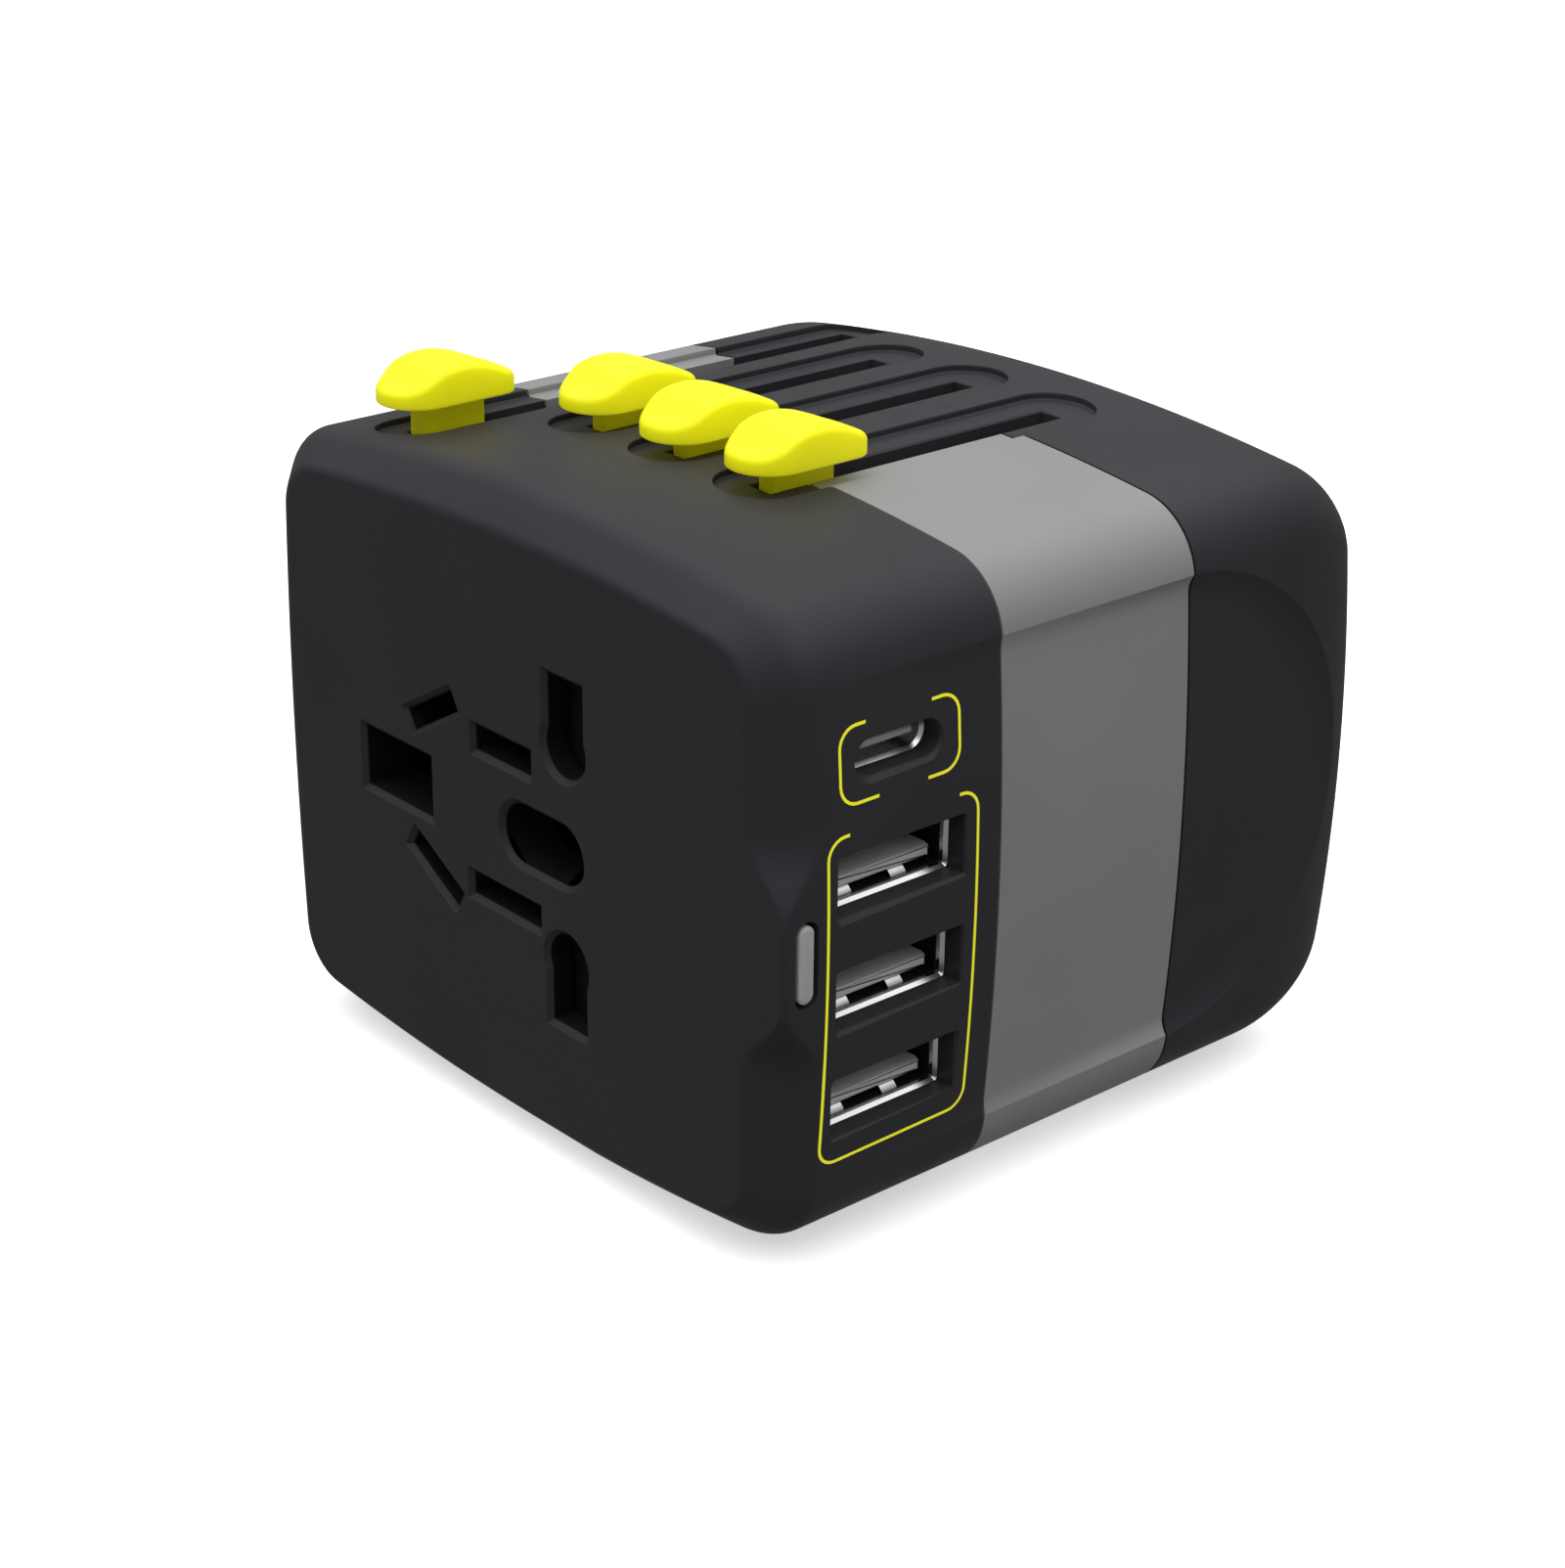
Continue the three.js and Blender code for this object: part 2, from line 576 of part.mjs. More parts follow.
function springSolid() {
  const { z, y, from, to, radius, wire, turns } = SPRING;
  const steps = turns * 8;
  const points = Array.from({ length: steps + 1 }, (_, i) => {
    const angle = (2 * Math.PI * i) / 8;
    const x = from + ((to - from) * i) / steps;
    return new THREE.Vector3(x, y + radius * Math.cos(angle), z + radius * Math.sin(angle));
  });
  const path = new THREE.CatmullRomCurve3(points);
  const geometry = new THREE.ExtrudeGeometry(circle(0, 0, wire), {
    steps, extrudePath: path, bevelEnabled: false, curveSegments: 2,
  });
  return solid(geometry);
}

function socketCore() {
  const { front, back, x0, x1, halfHeight } = CORE;
  return box(x0, x1, front, back, -halfHeight, halfHeight).subtract(socketCut(front - 1, back + 1, 0.2));
}

// A pair of spring leaves inside a well, reaching forward from the contact plate.
function leaves(x0, x1, z0, z1, acrossX) {
  const sheet = 0.4;
  const front = CORE.front + 1;
  const back = CONTACT_PLATE.front + 0.1;
  return acrossX
    ? [box(x0, x0 + sheet, front, back, z0, z1), box(x1 - sheet, x1, front, back, z0, z1)]
    : [box(x0, x1, front, back, z0, z0 + sheet), box(x0, x1, front, back, z1 - sheet, z1)];
}

function contacts() {
  const { front, back } = CONTACT_PLATE;
  const line = (sign) => {
    const z = (a, b) => (sign > 0 ? [a, b] : [-b, -a]);
    return join([
      box(-4, 10.4, front, back, ...z(4.6, 14.8)),
      ...leaves(5.4, 10.4, ...z(7.5, 14.0), true),
      ...leaves(-3.6, 3.6, ...z(5.1, 7.6), false),
    ]);
  };
  return {
    live_contact: line(1),
    neutral_contact: line(-1),
    earth_contact: join([
      box(-19, 8.4, front, back, -2.9, 2.9),
      ...leaves(-18.4, -10.2, -2.9, 2.9, false),
      ...leaves(2.2, 7.6, -2.7, 2.9, false),
    ]),
  };
}

// ---------- USB parts and electronics ----------
function receptacle(outer, inner) {
  return alongX(outer, SHELL_BACK, USB_MOUTH)
    .subtract(alongX(inner, SHELL_BACK + SHELL_SHEET, USB_MOUTH + 1));
}

function usbPieces() {
  const pieces = {};
  const a = USB_A;
  const { behind, halfWidth, low, high } = USB_A_TONGUE;
  const tongueFront = USB_MOUTH - behind;
  a.centres.forEach((z, i) => {
    const frame = (grow) => rectangle(
      a.y - 6.25 - grow, a.y + 6.25 + grow, z - 2.56 - grow, z + 2.56 + grow,
    );
    pieces[`usb_a_shell_${i + 1}`] = receptacle(frame(SHELL_SHEET), frame(0));
    pieces[`usb_a_tongue_${i + 1}`] = box(
      SHELL_BACK + 0.4, tongueFront, a.y - halfWidth, a.y + halfWidth, z + low, z + high,
    );
  });
  const c = USB_C;
  pieces.usb_c_shell = receptacle(stadium(c.y, c.z, 8.94, 3.16), stadium(c.y, c.z, 8.34, 2.56));
  pieces.usb_c_tongue = box(SHELL_BACK + 0.4, tongueFront, c.y - 3.35, c.y + 3.35, c.z - 0.35, c.z + 0.35);
  return pieces;
}

function electronics() {
  const board = POWER_BOARD;
  const soldered = board.x0 - 0.1;
  const capacitor = (z) => alongX(circle(CAPACITOR.y, z, CAPACITOR.radius), PART_START, soldered, 5);
  const { x, z } = FUSE;
  const clip = (y) => box(x - CLIP.halfWidth, x + CLIP.halfWidth, y, y + CLIP.length, z - CLIP.depth, z)
    .subtract(alongY(circle(x, z, FUSE.radius + 0.15), y - 1, y + CLIP.length + 1, 6));
  const bar = (left, low) =>
    box(left, left + BUS_BAR.thick, RETAINER.back + GAP, BUS_BAR.end, low, low + BUS_BAR.tall);
  return {
    usb_board: box(USB_BOARD.x0, USB_BOARD.x1, 4.6, 19.5, -17.2, 16.2),
    power_board: box(board.x0, board.x1, board.y0, board.y1, -board.halfHeight, board.halfHeight),
    transformer: box(PART_START, soldered, 38, 52, -7, 7),
    capacitor_upper: capacitor(CAPACITOR.z),
    capacitor_lower: capacitor(-CAPACITOR.z),
    status_led: box(19.5, 20.3, LIGHT.y + 0.4, LIGHT.y + 2, LIGHT.z - 0.8, LIGHT.z + 0.8),
    status_light: alongX(stadium(LIGHT.y, LIGHT.z, LIGHT.width, LIGHT.height), 20.5, BODY.width - 0.05),
    fuse: alongY(circle(x, z, FUSE.radius), FUSE.y0, FUSE.y1, 5),
    ...Object.fromEntries(Object.entries(CLIP.starts).map(([name, y]) => [name, clip(y)])),
    live_bus_bar: bar(-17.6, -6),
    neutral_bus_bar: bar(12.6, -10),
  };
}

function screwSolid({ x, z }) {
  const { shaft, head, headFront, headBack, tip } = SCREW;
  const geometry = new THREE.LatheGeometry([
    [0, tip], [shaft, tip + 1], [shaft, headFront], [head, headFront],
    [head, headBack - 0.4], [head - 0.4, headBack],
    [1.2, headBack], [1.2, headBack - 1.0], [0, headBack - 1.0],
  ].map(([radius, y]) => new THREE.Vector2(radius, y)), 10);
  geometry.translate(x, 0, z);
  return solid(geometry);
}

// ---------- assembly ----------
const adapter = new THREE.Group();
adapter.position.set(0, -DEPTH / 2, BASE);

function add(name, shape, material) {
  const mesh = shape.getMesh();
  const geometry = new THREE.BufferGeometry();
  geometry.setAttribute('position', new THREE.BufferAttribute(new Float32Array(mesh.vertProperties), 3));
  geometry.setIndex(new THREE.BufferAttribute(new Uint32Array(mesh.triVerts), 1));
  geometry.computeVertexNormals();
  const piece = new THREE.Mesh(geometry, material);
  piece.name = name;
  adapter.add(piece);
}

function addAll(pieces, material) {
  Object.entries(pieces).forEach(([name, shape]) => add(name, shape, material));
}

const housing = housingPieces();
add('front_shell', housing.front_shell, DARK);
add('side_band', housing.side_band, SILVER);
add('rear_shell', housing.rear_shell, DARK);
for (const [name, slider] of Object.entries(SLIDERS)) {
  const top = name === 'uk' ? HEAD_EDGE : HEAD;
  add(`slider_${name}`, capSolid(slider).add(stemSolid(slider, top + 0.1)), YELLOW);
}
addAll(carriages(), INNER);
addAll(pins(), NICKEL);
add('shutter', shutterSolid(), INNER);
add('shutter_spring', springSolid(), STEEL);
add('socket_core', socketCore(), INNER);
addAll(contacts(), BRASS);
const { front: retainerFront, back: retainerBack } = RETAINER;
add('contact_retainer', box(CORE.x0, CORE.x1, retainerFront, retainerBack, -17, 17), PALE);
const finishes = { shell: STEEL, tongue: INNER, board: BOARD, bar: BRASS, clip: BRASS, light: LAMP };
for (const [name, shape] of Object.entries({ ...usbPieces(), ...electronics() })) {
  const kind = Object.keys(finishes).find((word) => name.includes(word));
  add(name, shape, finishes[kind] ?? PALE);
}
screwPlaces().forEach((place, i) => add(`case_screw_${i + 1}`, screwSolid(place), STEEL));

export default adapter;
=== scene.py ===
"""Universal travel adapter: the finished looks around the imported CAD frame.

Shapes are modelled in millimetres in the adapter's own axes. x runs across the socket face, y runs from the
socket face towards the wall, and z is up, measured from the middle of the body. finish_piece() turns them
into metres in the frame.
"""

import math

import bmesh
import bpy
from mathutils import Matrix, Vector


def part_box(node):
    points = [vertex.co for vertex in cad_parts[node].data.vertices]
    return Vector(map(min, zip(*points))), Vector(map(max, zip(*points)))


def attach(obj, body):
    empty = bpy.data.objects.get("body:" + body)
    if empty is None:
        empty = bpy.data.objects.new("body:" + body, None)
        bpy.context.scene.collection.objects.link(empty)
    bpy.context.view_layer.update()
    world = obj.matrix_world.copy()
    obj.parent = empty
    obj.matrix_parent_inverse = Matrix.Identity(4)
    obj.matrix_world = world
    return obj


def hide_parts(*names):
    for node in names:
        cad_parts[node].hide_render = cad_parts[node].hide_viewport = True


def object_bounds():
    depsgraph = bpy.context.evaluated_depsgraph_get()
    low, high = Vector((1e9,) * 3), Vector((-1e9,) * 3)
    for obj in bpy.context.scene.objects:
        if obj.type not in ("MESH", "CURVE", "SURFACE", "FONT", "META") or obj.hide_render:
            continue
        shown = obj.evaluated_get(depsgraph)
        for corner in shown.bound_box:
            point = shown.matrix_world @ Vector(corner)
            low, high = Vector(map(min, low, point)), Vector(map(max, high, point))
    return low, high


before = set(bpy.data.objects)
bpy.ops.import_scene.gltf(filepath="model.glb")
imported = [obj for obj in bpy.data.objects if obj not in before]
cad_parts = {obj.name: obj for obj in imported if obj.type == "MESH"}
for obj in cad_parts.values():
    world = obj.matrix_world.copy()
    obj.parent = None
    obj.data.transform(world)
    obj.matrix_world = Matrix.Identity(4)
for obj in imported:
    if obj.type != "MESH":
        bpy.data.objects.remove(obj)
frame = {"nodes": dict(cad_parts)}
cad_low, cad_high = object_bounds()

MM = 0.001

# ----- driving dimensions, from the frame where it holds them -----
face_corner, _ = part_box("front_shell")
_, wall_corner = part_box("rear_shell")
DEPTH = (wall_corner.y - face_corner.y) / MM
BASE = 27.0  # middle of the body to the underside
ORIGIN = Vector((0, face_corner.y, face_corner.z + BASE * MM))

BODY = {"width": 33.4, "height": 27.2, "top_radius": 195.0, "side_radius": 210.0, "corner": 6.2}
FACE = {"width": 29.4, "height": 24.2, "top_radius": 260.0, "side_radius": 400.0, "corner": 4.5}
BEVEL = 3.1
FACE_ROUND = 0.45  # how far the rounding of the bevel's edge on the socket face reaches
BODY_ROUND = 1.0  # the same at its other edge
ROUNDING = {"length": 10.0, "width": 30.6, "height": 21.2}  # the rear end shrinks to this at the wall face
WALL = 2.0
SEAM_FRONT = 21.5
SEAM_REAR = 42.2
SEAM_GAP = 0.24

BUMP = {"z": 0.05, "flat": 3.3, "reach": 9.5, "left": 0.1}
RECESS = {"top": 20.1, "bottom": -19.4, "end": 41.8, "reach": 18.65, "slope": 0.0185, "zero": 6.0}
RECESS_WALL = {"band": 1.6, "rear": 4.6}  # width of the curved wall along the band and at the rear end

SLOT_WIDTH = 2.3
TRACK = {"half_width": 3.65, "depth": 0.6}
LONG_SLOT = {"start": 8.0, "end": 54.7, "stem": 7.7}
SHORT_SLOT = {"start": 17.7, "end": 49.0, "stem": 18.3}
SLIDERS = {
    "uk": {"x": -20.75, **LONG_SLOT},
    "us": {"x": -10.5, **SHORT_SLOT},
    "eu": {"x": -0.25, **SHORT_SLOT},
    "au": {"x": 10.0, **SHORT_SLOT},
}
CAP = {
    "width": 6.7, "length": 11.4, "bottom": 28.2, "ahead": 3.2,
    "rear_round": 1.8, "fillet": 0.5, "crown": 0.15,
}
CAP_PROFILE = [  # (distance behind the front tip, height above the cap's bottom)
    (0, 1.3), (1.0, 1.5), (2.2, 2.05), (3.4, 2.8), (4.9, 3.15),
    (6.6, 3.15), (8.4, 2.75), (10.0, 2.1), (11.4, 1.55),
]
CAP_FRONT_STEPS = 28
STEM = {"width": 2.0, "length": 6.0, "bottom": 22.7}

# ----- socket -----
LIP = 0.42  # chamfer round the holes of the socket
EARTH_HOLE = {"x0": -19.35, "x1": -9.25, "half_height": 3.08}
LINE_HOLE = {"x0": 5.28, "x1": 10.53, "outer": 15.0, "round_z": 9.0, "round_radius": 2.9}
ROUND_EARTH = {"x": 4.95, "z": 0.1, "length": 10.9, "width": 5.9}
BLADES = [
    {"x": -0.05, "z": 6.35, "length": 8.1, "width": 3.0, "angle": 0},
    {"x": 0.05, "z": -6.35, "length": 9.7, "width": 2.8, "angle": 0},
    {"x": -9.3, "z": 6.85, "length": 7.9, "width": 2.7, "angle": math.pi / 6},
    {"x": -9.3, "z": -6.85, "length": 7.9, "width": 2.7, "angle": -math.pi / 6},
]
COLLAR_END = 4.8  # the walls of the holes run on behind the face
# Painted shade: thin black sheets on the walls of the socket's holes.
HOLE_SHADE_SHEET = {"sunk": 0.03, "inside": 0.06, "line_hole_end": 2.3}  # reach into the hole's wall, and inwards of it

# ----- USB side -----
USB_A = {"y": 11.6, "width": 13.08, "height": 5.42, "centres": [4.86, -4.19, -13.24]}
USB_C = {"y": 11.25, "z": 14.1, "width": 8.9, "height": 3.5}
USB_LIP = 0.3
RIM_DEPTH = 2.0  # from the side surface to the metal rim of a port
RIM_CHAMFER = 0.26
PORT_BACK = 19.4
SHEET = 0.32
LIGHT = {"y": 2.15, "z": -0.05, "width": 1.6, "height": 6.3, "gap": 0.3}
LEAF = {"half_width": 0.75, "sheet": 0.14, "offsets": (-3.5, 1.9)}
LEAF_PROFILE = [  # (depth behind the rim, rise from the sleeve's wall)
    (4.2, 0.02), (3.0, 0.15), (2.0, 0.3), (1.3, 0.48), (1.1, 0.5), (0.75, 0.15), (0.7, 0.02),
]
PRINT = {"width": 0.24, "proud": 0.02, "sunk": 0.1, "corner": 1.6}
FRAME_C = {"y0": 5.4, "y1": 17.2, "z0": 11.15, "z1": 17.0, "top_gap": (7.95, 14.5), "bottom_gap": (9.1, 14.0)}
FRAME_A = {"y0": 4.15, "y1": 19.1, "z0": -17.55, "z1": 8.95, "top_gap": (6.2, 17.2)}

# ----- plug pins and screws -----
PIN_START = 22.1
UK = {"line_z": 8.8, "earth_z": -13.4, "spacing": 22.2, "wide": 6.35, "thick": 3.97, "tall": 7.95}
EU = {"z": 17.2, "spacing": 19.0, "diameter": 4.8}
US = {"z": -0.4, "spacing": 12.7, "thick": 1.5, "tall": 6.35}
AU = {"z": -8.0, "spacing": 13.7, "thick": 1.6, "tall": 6.35, "tilt": math.pi / 6}
PIN_CLEARANCE = 0.4
BARE_TIP = {"uk": 9.3, "eu": 9.0, "us": None, "au": 9.5}  # bare metal at the tip. US blades have no sleeve
SCREW = {"x": 24.8, "z": 18.9, "shaft": 1.25, "head": 2.4, "front": 59.5, "back": 61.5, "tip": 34.0}
THREAD = {"turns": 20, "pitch": 0.8, "root": 0.82}
OUTSIDE = 40  # past every side of the body


# ----- small maths -----
def mix(a, b, t):
    return a + (b - a) * t


def smoothstep(value, low, high):
    t = min(max((value - low) / (high - low), 0.0), 1.0)
    return t * t * (3 - 2 * t)


def spread(low, high, count):
    return [mix(low, high, i / count) for i in range(count + 1)]


def curve_height(points, s):
    """Height at s on a smooth curve through the points (Catmull-Rom)."""
    s = min(max(s, points[0][0]), points[-1][0])
    k = max(i for i in range(len(points) - 1) if points[i][0] <= s)
    (x0, y0), (x1, y1) = points[k], points[k + 1]
    before = points[max(k - 1, 0)]
    after = points[min(k + 2, len(points) - 1)]
    slope0 = (y1 - before[1]) / (x1 - before[0])
    slope1 = (after[1] - y0) / (after[0] - x0)
    width = x1 - x0
    t = (s - x0) / width
    h00, h10 = (1 + 2 * t) * (1 - t) ** 2, t * (1 - t) ** 2
    h01, h11 = t * t * (3 - 2 * t), t * t * (t - 1)
    return h00 * y0 + h10 * width * slope0 + h01 * y1 + h11 * width * slope1


# ----- flat outlines -----
def rectangle(a0, a1, b0, b1):
    return [(a0, b0), (a1, b0), (a1, b1), (a0, b1)]


def arc(a, b, radius, start, end, steps):
    angles = spread(math.radians(start), math.radians(end), steps)
    return [(a + radius * math.cos(t), b + radius * math.sin(t)) for t in angles]


def circle(a, b, radius, steps=32):
    return arc(a, b, radius, 0, 360, steps)[:-1]


def rounded(a0, a1, b0, b1, radius, steps=6):
    a_in, b_in = (a0 + radius, a1 - radius), (b0 + radius, b1 - radius)
    return (
        arc(a_in[0], b_in[0], radius, 180, 270, steps)
        + arc(a_in[1], b_in[0], radius, 270, 360, steps)
        + arc(a_in[1], b_in[1], radius, 0, 90, steps)
        + arc(a_in[0], b_in[1], radius, 90, 180, steps)
    )


def stadium(a, b, length_a, length_b, steps=12):
    radius = min(length_a, length_b) / 2 - 1e-3
    return rounded(a - length_a / 2, a + length_a / 2, b - length_b / 2, b + length_b / 2, radius, steps)


def slanted_bar(a, b, length, width, angle):
    c, s = math.cos(angle), math.sin(angle)
    corners = rectangle(-length / 2, length / 2, -width / 2, width / 2)
    return [(a + u * c - v * s, b + u * s + v * c) for u, v in corners]


def grown(outline, distance):
    """The outline moved outwards by a distance, with mitred corners."""
    count = len(outline)
    result = []
    for i, (a, b) in enumerate(outline):
        before, after = outline[i - 1], outline[(i + 1) % count]
        n1 = Vector((b - before[1], before[0] - a)).normalized()
        n2 = Vector((after[1] - b, a - after[0])).normalized()
        n = (n1 + n2).normalized()
        n *= distance / max(n.dot(n1), 0.3)
        result.append((a + n.x, b + n.y))
    return result


# ----- meshes and booleans, in millimetres -----
def add_object(name, data):
    obj = bpy.data.objects.new(name, data)
    bpy.context.scene.collection.objects.link(obj)
    return obj


def make_mesh(name, points, faces):
    mesh = bpy.data.meshes.new(name)
    mesh.from_pydata([tuple(p) for p in points], [], faces)
    mesh.validate()
    return add_object(name, mesh)


def mirrored_strip(base, count, pair_sum):
    """Faces across a ring in which points i and pair_sum - i mirror each other."""
    faces = []
    for i in range((pair_sum + 1) // 2, (pair_sum + 1) // 2 + count // 2):
        corners = dict.fromkeys(base + k % count for k in (i, i + 1, pair_sum - i - 1, pair_sum - i))
        if len(corners) > 2:
            faces.append(tuple(corners))
    return faces


def loft(rings, pair_sum=None):
    """A solid from rings with the same number of points, closed at both ends.

    With pair_sum, the last ring is closed by a strip of faces across it, between the points that mirror
    each other.
    """
    count = len(rings[0])
    points = [p for ring in rings for p in ring]
    last = len(points) - count
    faces = []
    for a in range(0, last, count):
        b = a + count
        for i in range(count):
            j = (i + 1) % count
            faces.append((a + i, b + i, b + j, a + j))
    faces.append(tuple(range(count)))
    if pair_sum is None:
        faces.append(tuple(reversed(range(last, last + count))))
    else:
        faces += mirrored_strip(last, count, pair_sum)
    solid = make_mesh("solid", points, faces)
    face_outwards(solid)
    return solid


def face_outwards(solid):
    bm = bmesh.new()
    bm.from_mesh(solid.data)
    bmesh.ops.recalc_face_normals(bm, faces=bm.faces)
    if bm.calc_volume(signed=True) < 0:
        bmesh.ops.reverse_faces(bm, faces=bm.faces)
    bm.to_mesh(solid.data)
    bm.free()


def along_x(outline, levels):
    """Outline in y and z. Levels are (x, growth of the outline there)."""
    return loft([[(x, a, b) for a, b in grown(outline, g)] for x, g in levels])


def along_y(outline, levels):
    """Outline in x and z. Levels are (y, growth of the outline there)."""
    return loft([[(a, y, b) for a, b in grown(outline, g)] for y, g in levels])


def along_z(outline, levels, pair_sum=None):
    """Outline in x and y. Levels are (z or a function of x and y, growth of the outline there)."""
    rings = []
    for z, g in levels:
        height = z if callable(z) else lambda a, b, z=z: z
        rings.append([(a, b, height(a, b)) for a, b in grown(outline, g)])
    return loft(rings, pair_sum)


def box(x0, x1, y0, y1, z0, z1):
    return along_z(rectangle(x0, x1, y0, y1), [(z0, 0), (z1, 0)])


def boolean(target, tool, operation):
    modifier = target.modifiers.new("cut", "BOOLEAN")
    modifier.operation = operation
    modifier.solver = "MANIFOLD"
    modifier.object = tool
    bpy.context.view_layer.update()
    evaluated = target.evaluated_get(bpy.context.evaluated_depsgraph_get())
    mesh = bpy.data.meshes.new_from_object(evaluated)
    target.modifiers.clear()
    old = target.data
    target.data = mesh
    bpy.data.meshes.remove(old)
    bpy.data.objects.remove(tool)
    return target


def cut(target, *tools):
    for tool in tools:
        boolean(target, tool, "DIFFERENCE")
    return target


def unite(target, *tools):
    for tool in tools:
        boolean(target, tool, "UNION")
    return target


def meet(target, tool):
    return boolean(target, tool, "INTERSECT")


def copy_of(obj):
    return add_object(obj.name, obj.data.copy())


def tidy_mesh(obj, angle):
    """Welds stray points, splits the many-sided faces, and marks the edges sharper than the angle."""
    bm = bmesh.new()
    bm.from_mesh(obj.data)
    bmesh.ops.remove_doubles(bm, verts=bm.verts, dist=2e-4)
    bmesh.ops.dissolve_degenerate(bm, dist=1e-4, edges=bm.edges)
    bmesh.ops.triangulate(bm, faces=[face for face in bm.faces if len(face.verts) > 4])
    bm.to_mesh(obj.data)
    bm.free()
    obj.data.shade_smooth()
    obj.data.set_sharp_from_angle(angle=math.radians(angle))
    sharpen_flat_ends(obj.data)


def sharpen_flat_ends(mesh):
    """Marks the edges round the flat end faces, which keeps their shading flat."""
    flat_sides = {}
    for polygon in mesh.polygons:
        flat = abs(polygon.normal.y) > 0.9999
        for key in polygon.edge_keys:
            flat_sides.setdefault(key, set()).add(flat)
    for edge in mesh.edges:
        if len(flat_sides[edge.key]) == 2:
            edge.use_edge_sharp = True


def finish_piece(obj, name, body, material, replaces=(), angle=30):
    """Shades a piece, puts it in the frame in metres, hangs it on its body, and hides the CAD parts that it
    replaces.
    """
    tidy_mesh(obj, angle)
    obj.data.transform(Matrix.Translation(ORIGIN) @ Matrix.Scale(MM, 4))
    obj.name = name
    obj.data.name = name
    obj.data.materials.clear()
    obj.data.materials.append(material)
    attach(obj, body)
    if replaces:
        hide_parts(*replaces)


# ----- materials -----
def node_material(name):
    material = bpy.data.materials.new(name)
    material.use_nodes = True
    tree = material.node_tree
    place = tree.nodes.new("ShaderNodeTexCoord")
    return material, tree, tree.nodes["Principled BSDF"], place.outputs["Object"]


def set_inputs(node, values):
    for name, value in values.items():
        node.inputs[name].default_value = value
    return node


def add_node(tree, kind, values):
    return set_inputs(tree.nodes.new("ShaderNode" + kind), values)


def noise(tree, place, size_mm, detail=2.0, stretch=(1, 1, 1)):
    """Noise whose lumps are about size_mm across."""
    mapping = add_node(tree, "Mapping", {"Scale": stretch})
    texture = add_node(tree, "TexNoise", {"Scale": 1 / (size_mm * MM), "Detail": detail})
    tree.links.new(place, mapping.inputs["Vector"])
    tree.links.new(mapping.outputs["Vector"], texture.inputs["Vector"])
    return texture.outputs["Fac"]


def ranged(tree, value, low, high, low_in=0.3, high_in=0.7):
    mapper = add_node(tree, "MapRange", {
        "From Min": low_in, "From Max": high_in, "To Min": low, "To Max": high,
    })
    tree.links.new(value, mapper.inputs["Value"])
    return mapper.outputs["Result"]


def height_share(tree, place, low, high):
    """How far up a point lies between two heights, from 0 to 1."""
    split = tree.nodes.new("ShaderNodeSeparateXYZ")
    tree.links.new(place, split.inputs["Vector"])
    return ranged(tree, split.outputs["Z"], 0, 1, low, high)


def color_ramp(tree, value, stops):
    """A colour for a value. Stops are (value, colour)."""
    ramp = tree.nodes.new("ShaderNodeValToRGB")
    elements = ramp.color_ramp.elements
    for i, (position, color) in enumerate(stops):
        stop = elements[i] if i < 2 else elements.new(position)
        stop.position = position
        stop.color = (*color, 1)
    tree.links.new(value, ramp.inputs["Fac"])
    return ramp.outputs["Color"]


def tinted(tree, value, dark, light):
    return color_ramp(tree, value, [(0.3, dark), (0.7, light)])


def bumped(tree, height, shader, depth_mm):
    bump = add_node(tree, "Bump", {"Distance": depth_mm * MM, "Strength": 1.0})
    tree.links.new(height, bump.inputs["Height"])
    tree.links.new(bump.outputs["Normal"], shader.inputs["Normal"])


def finish_material(name, color, roughness, spread_share=0.06, grain=0.22, grain_depth=0.004, metallic=0.0,
                    specular=0.5, stretch=(1, 1, 1), subsurface=0.0):
    """Moulded plastic or plain metal: a fine grain in the surface, and a slow drift of colour and gloss."""
    material, tree, shader, place = node_material(name)
    set_inputs(shader, {"Metallic": metallic, "Specular IOR Level": specular})
    if subsurface:
        set_inputs(shader, {"Subsurface Weight": subsurface, "Subsurface Scale": 1.0})
        set_inputs(shader, {"Subsurface Radius": (0.0025, 0.0022, 0.0003)})
    drift = noise(tree, place, 14)
    dark = [c * (1 - spread_share) for c in color]
    light = [c * (1 + spread_share) for c in color]
    tree.links.new(tinted(tree, drift, dark, light), shader.inputs["Base Color"])
    patches = noise(tree, place, 3.5, 4, stretch)
    tree.links.new(ranged(tree, patches, roughness * 0.92, roughness * 1.08), shader.inputs["Roughness"])
    bumped(tree, noise(tree, place, grain, 2, stretch), shader, grain_depth)
    return material


def banded_material(name, direction, scale, distortion, dark, light, roughness, depth_mm):
    """Bands that show both in colour and in relief."""
    material, tree, shader, place = node_material(name)
    bands = add_node(tree, "TexWave", {"Scale": scale, "Distortion": distortion})
    bands.bands_direction = direction
    tree.links.new(place, bands.inputs["Vector"])
    tree.links.new(tinted(tree, bands.outputs["Fac"], dark, light), shader.inputs["Base Color"])
    set_inputs(shader, {"Roughness": roughness})
    bumped(tree, bands.outputs["Fac"], shader, depth_mm)
    return material


def add_painted_light(material, color, strength, low, high):
    """Painted light: a glow set against the photo, which fades in between two heights in metres."""
    tree = material.node_tree
    shader = tree.nodes["Principled BSDF"]
    place = tree.nodes.new("ShaderNodeTexCoord").outputs["Object"]
    stops = [(0, [0.15 * c for c in color]), (1, color)]
    glow = color_ramp(tree, height_share(tree, place, low, high), stops)
    tree.links.new(glow, shader.inputs["Emission Color"])
    set_inputs(shader, {"Emission Strength": strength})


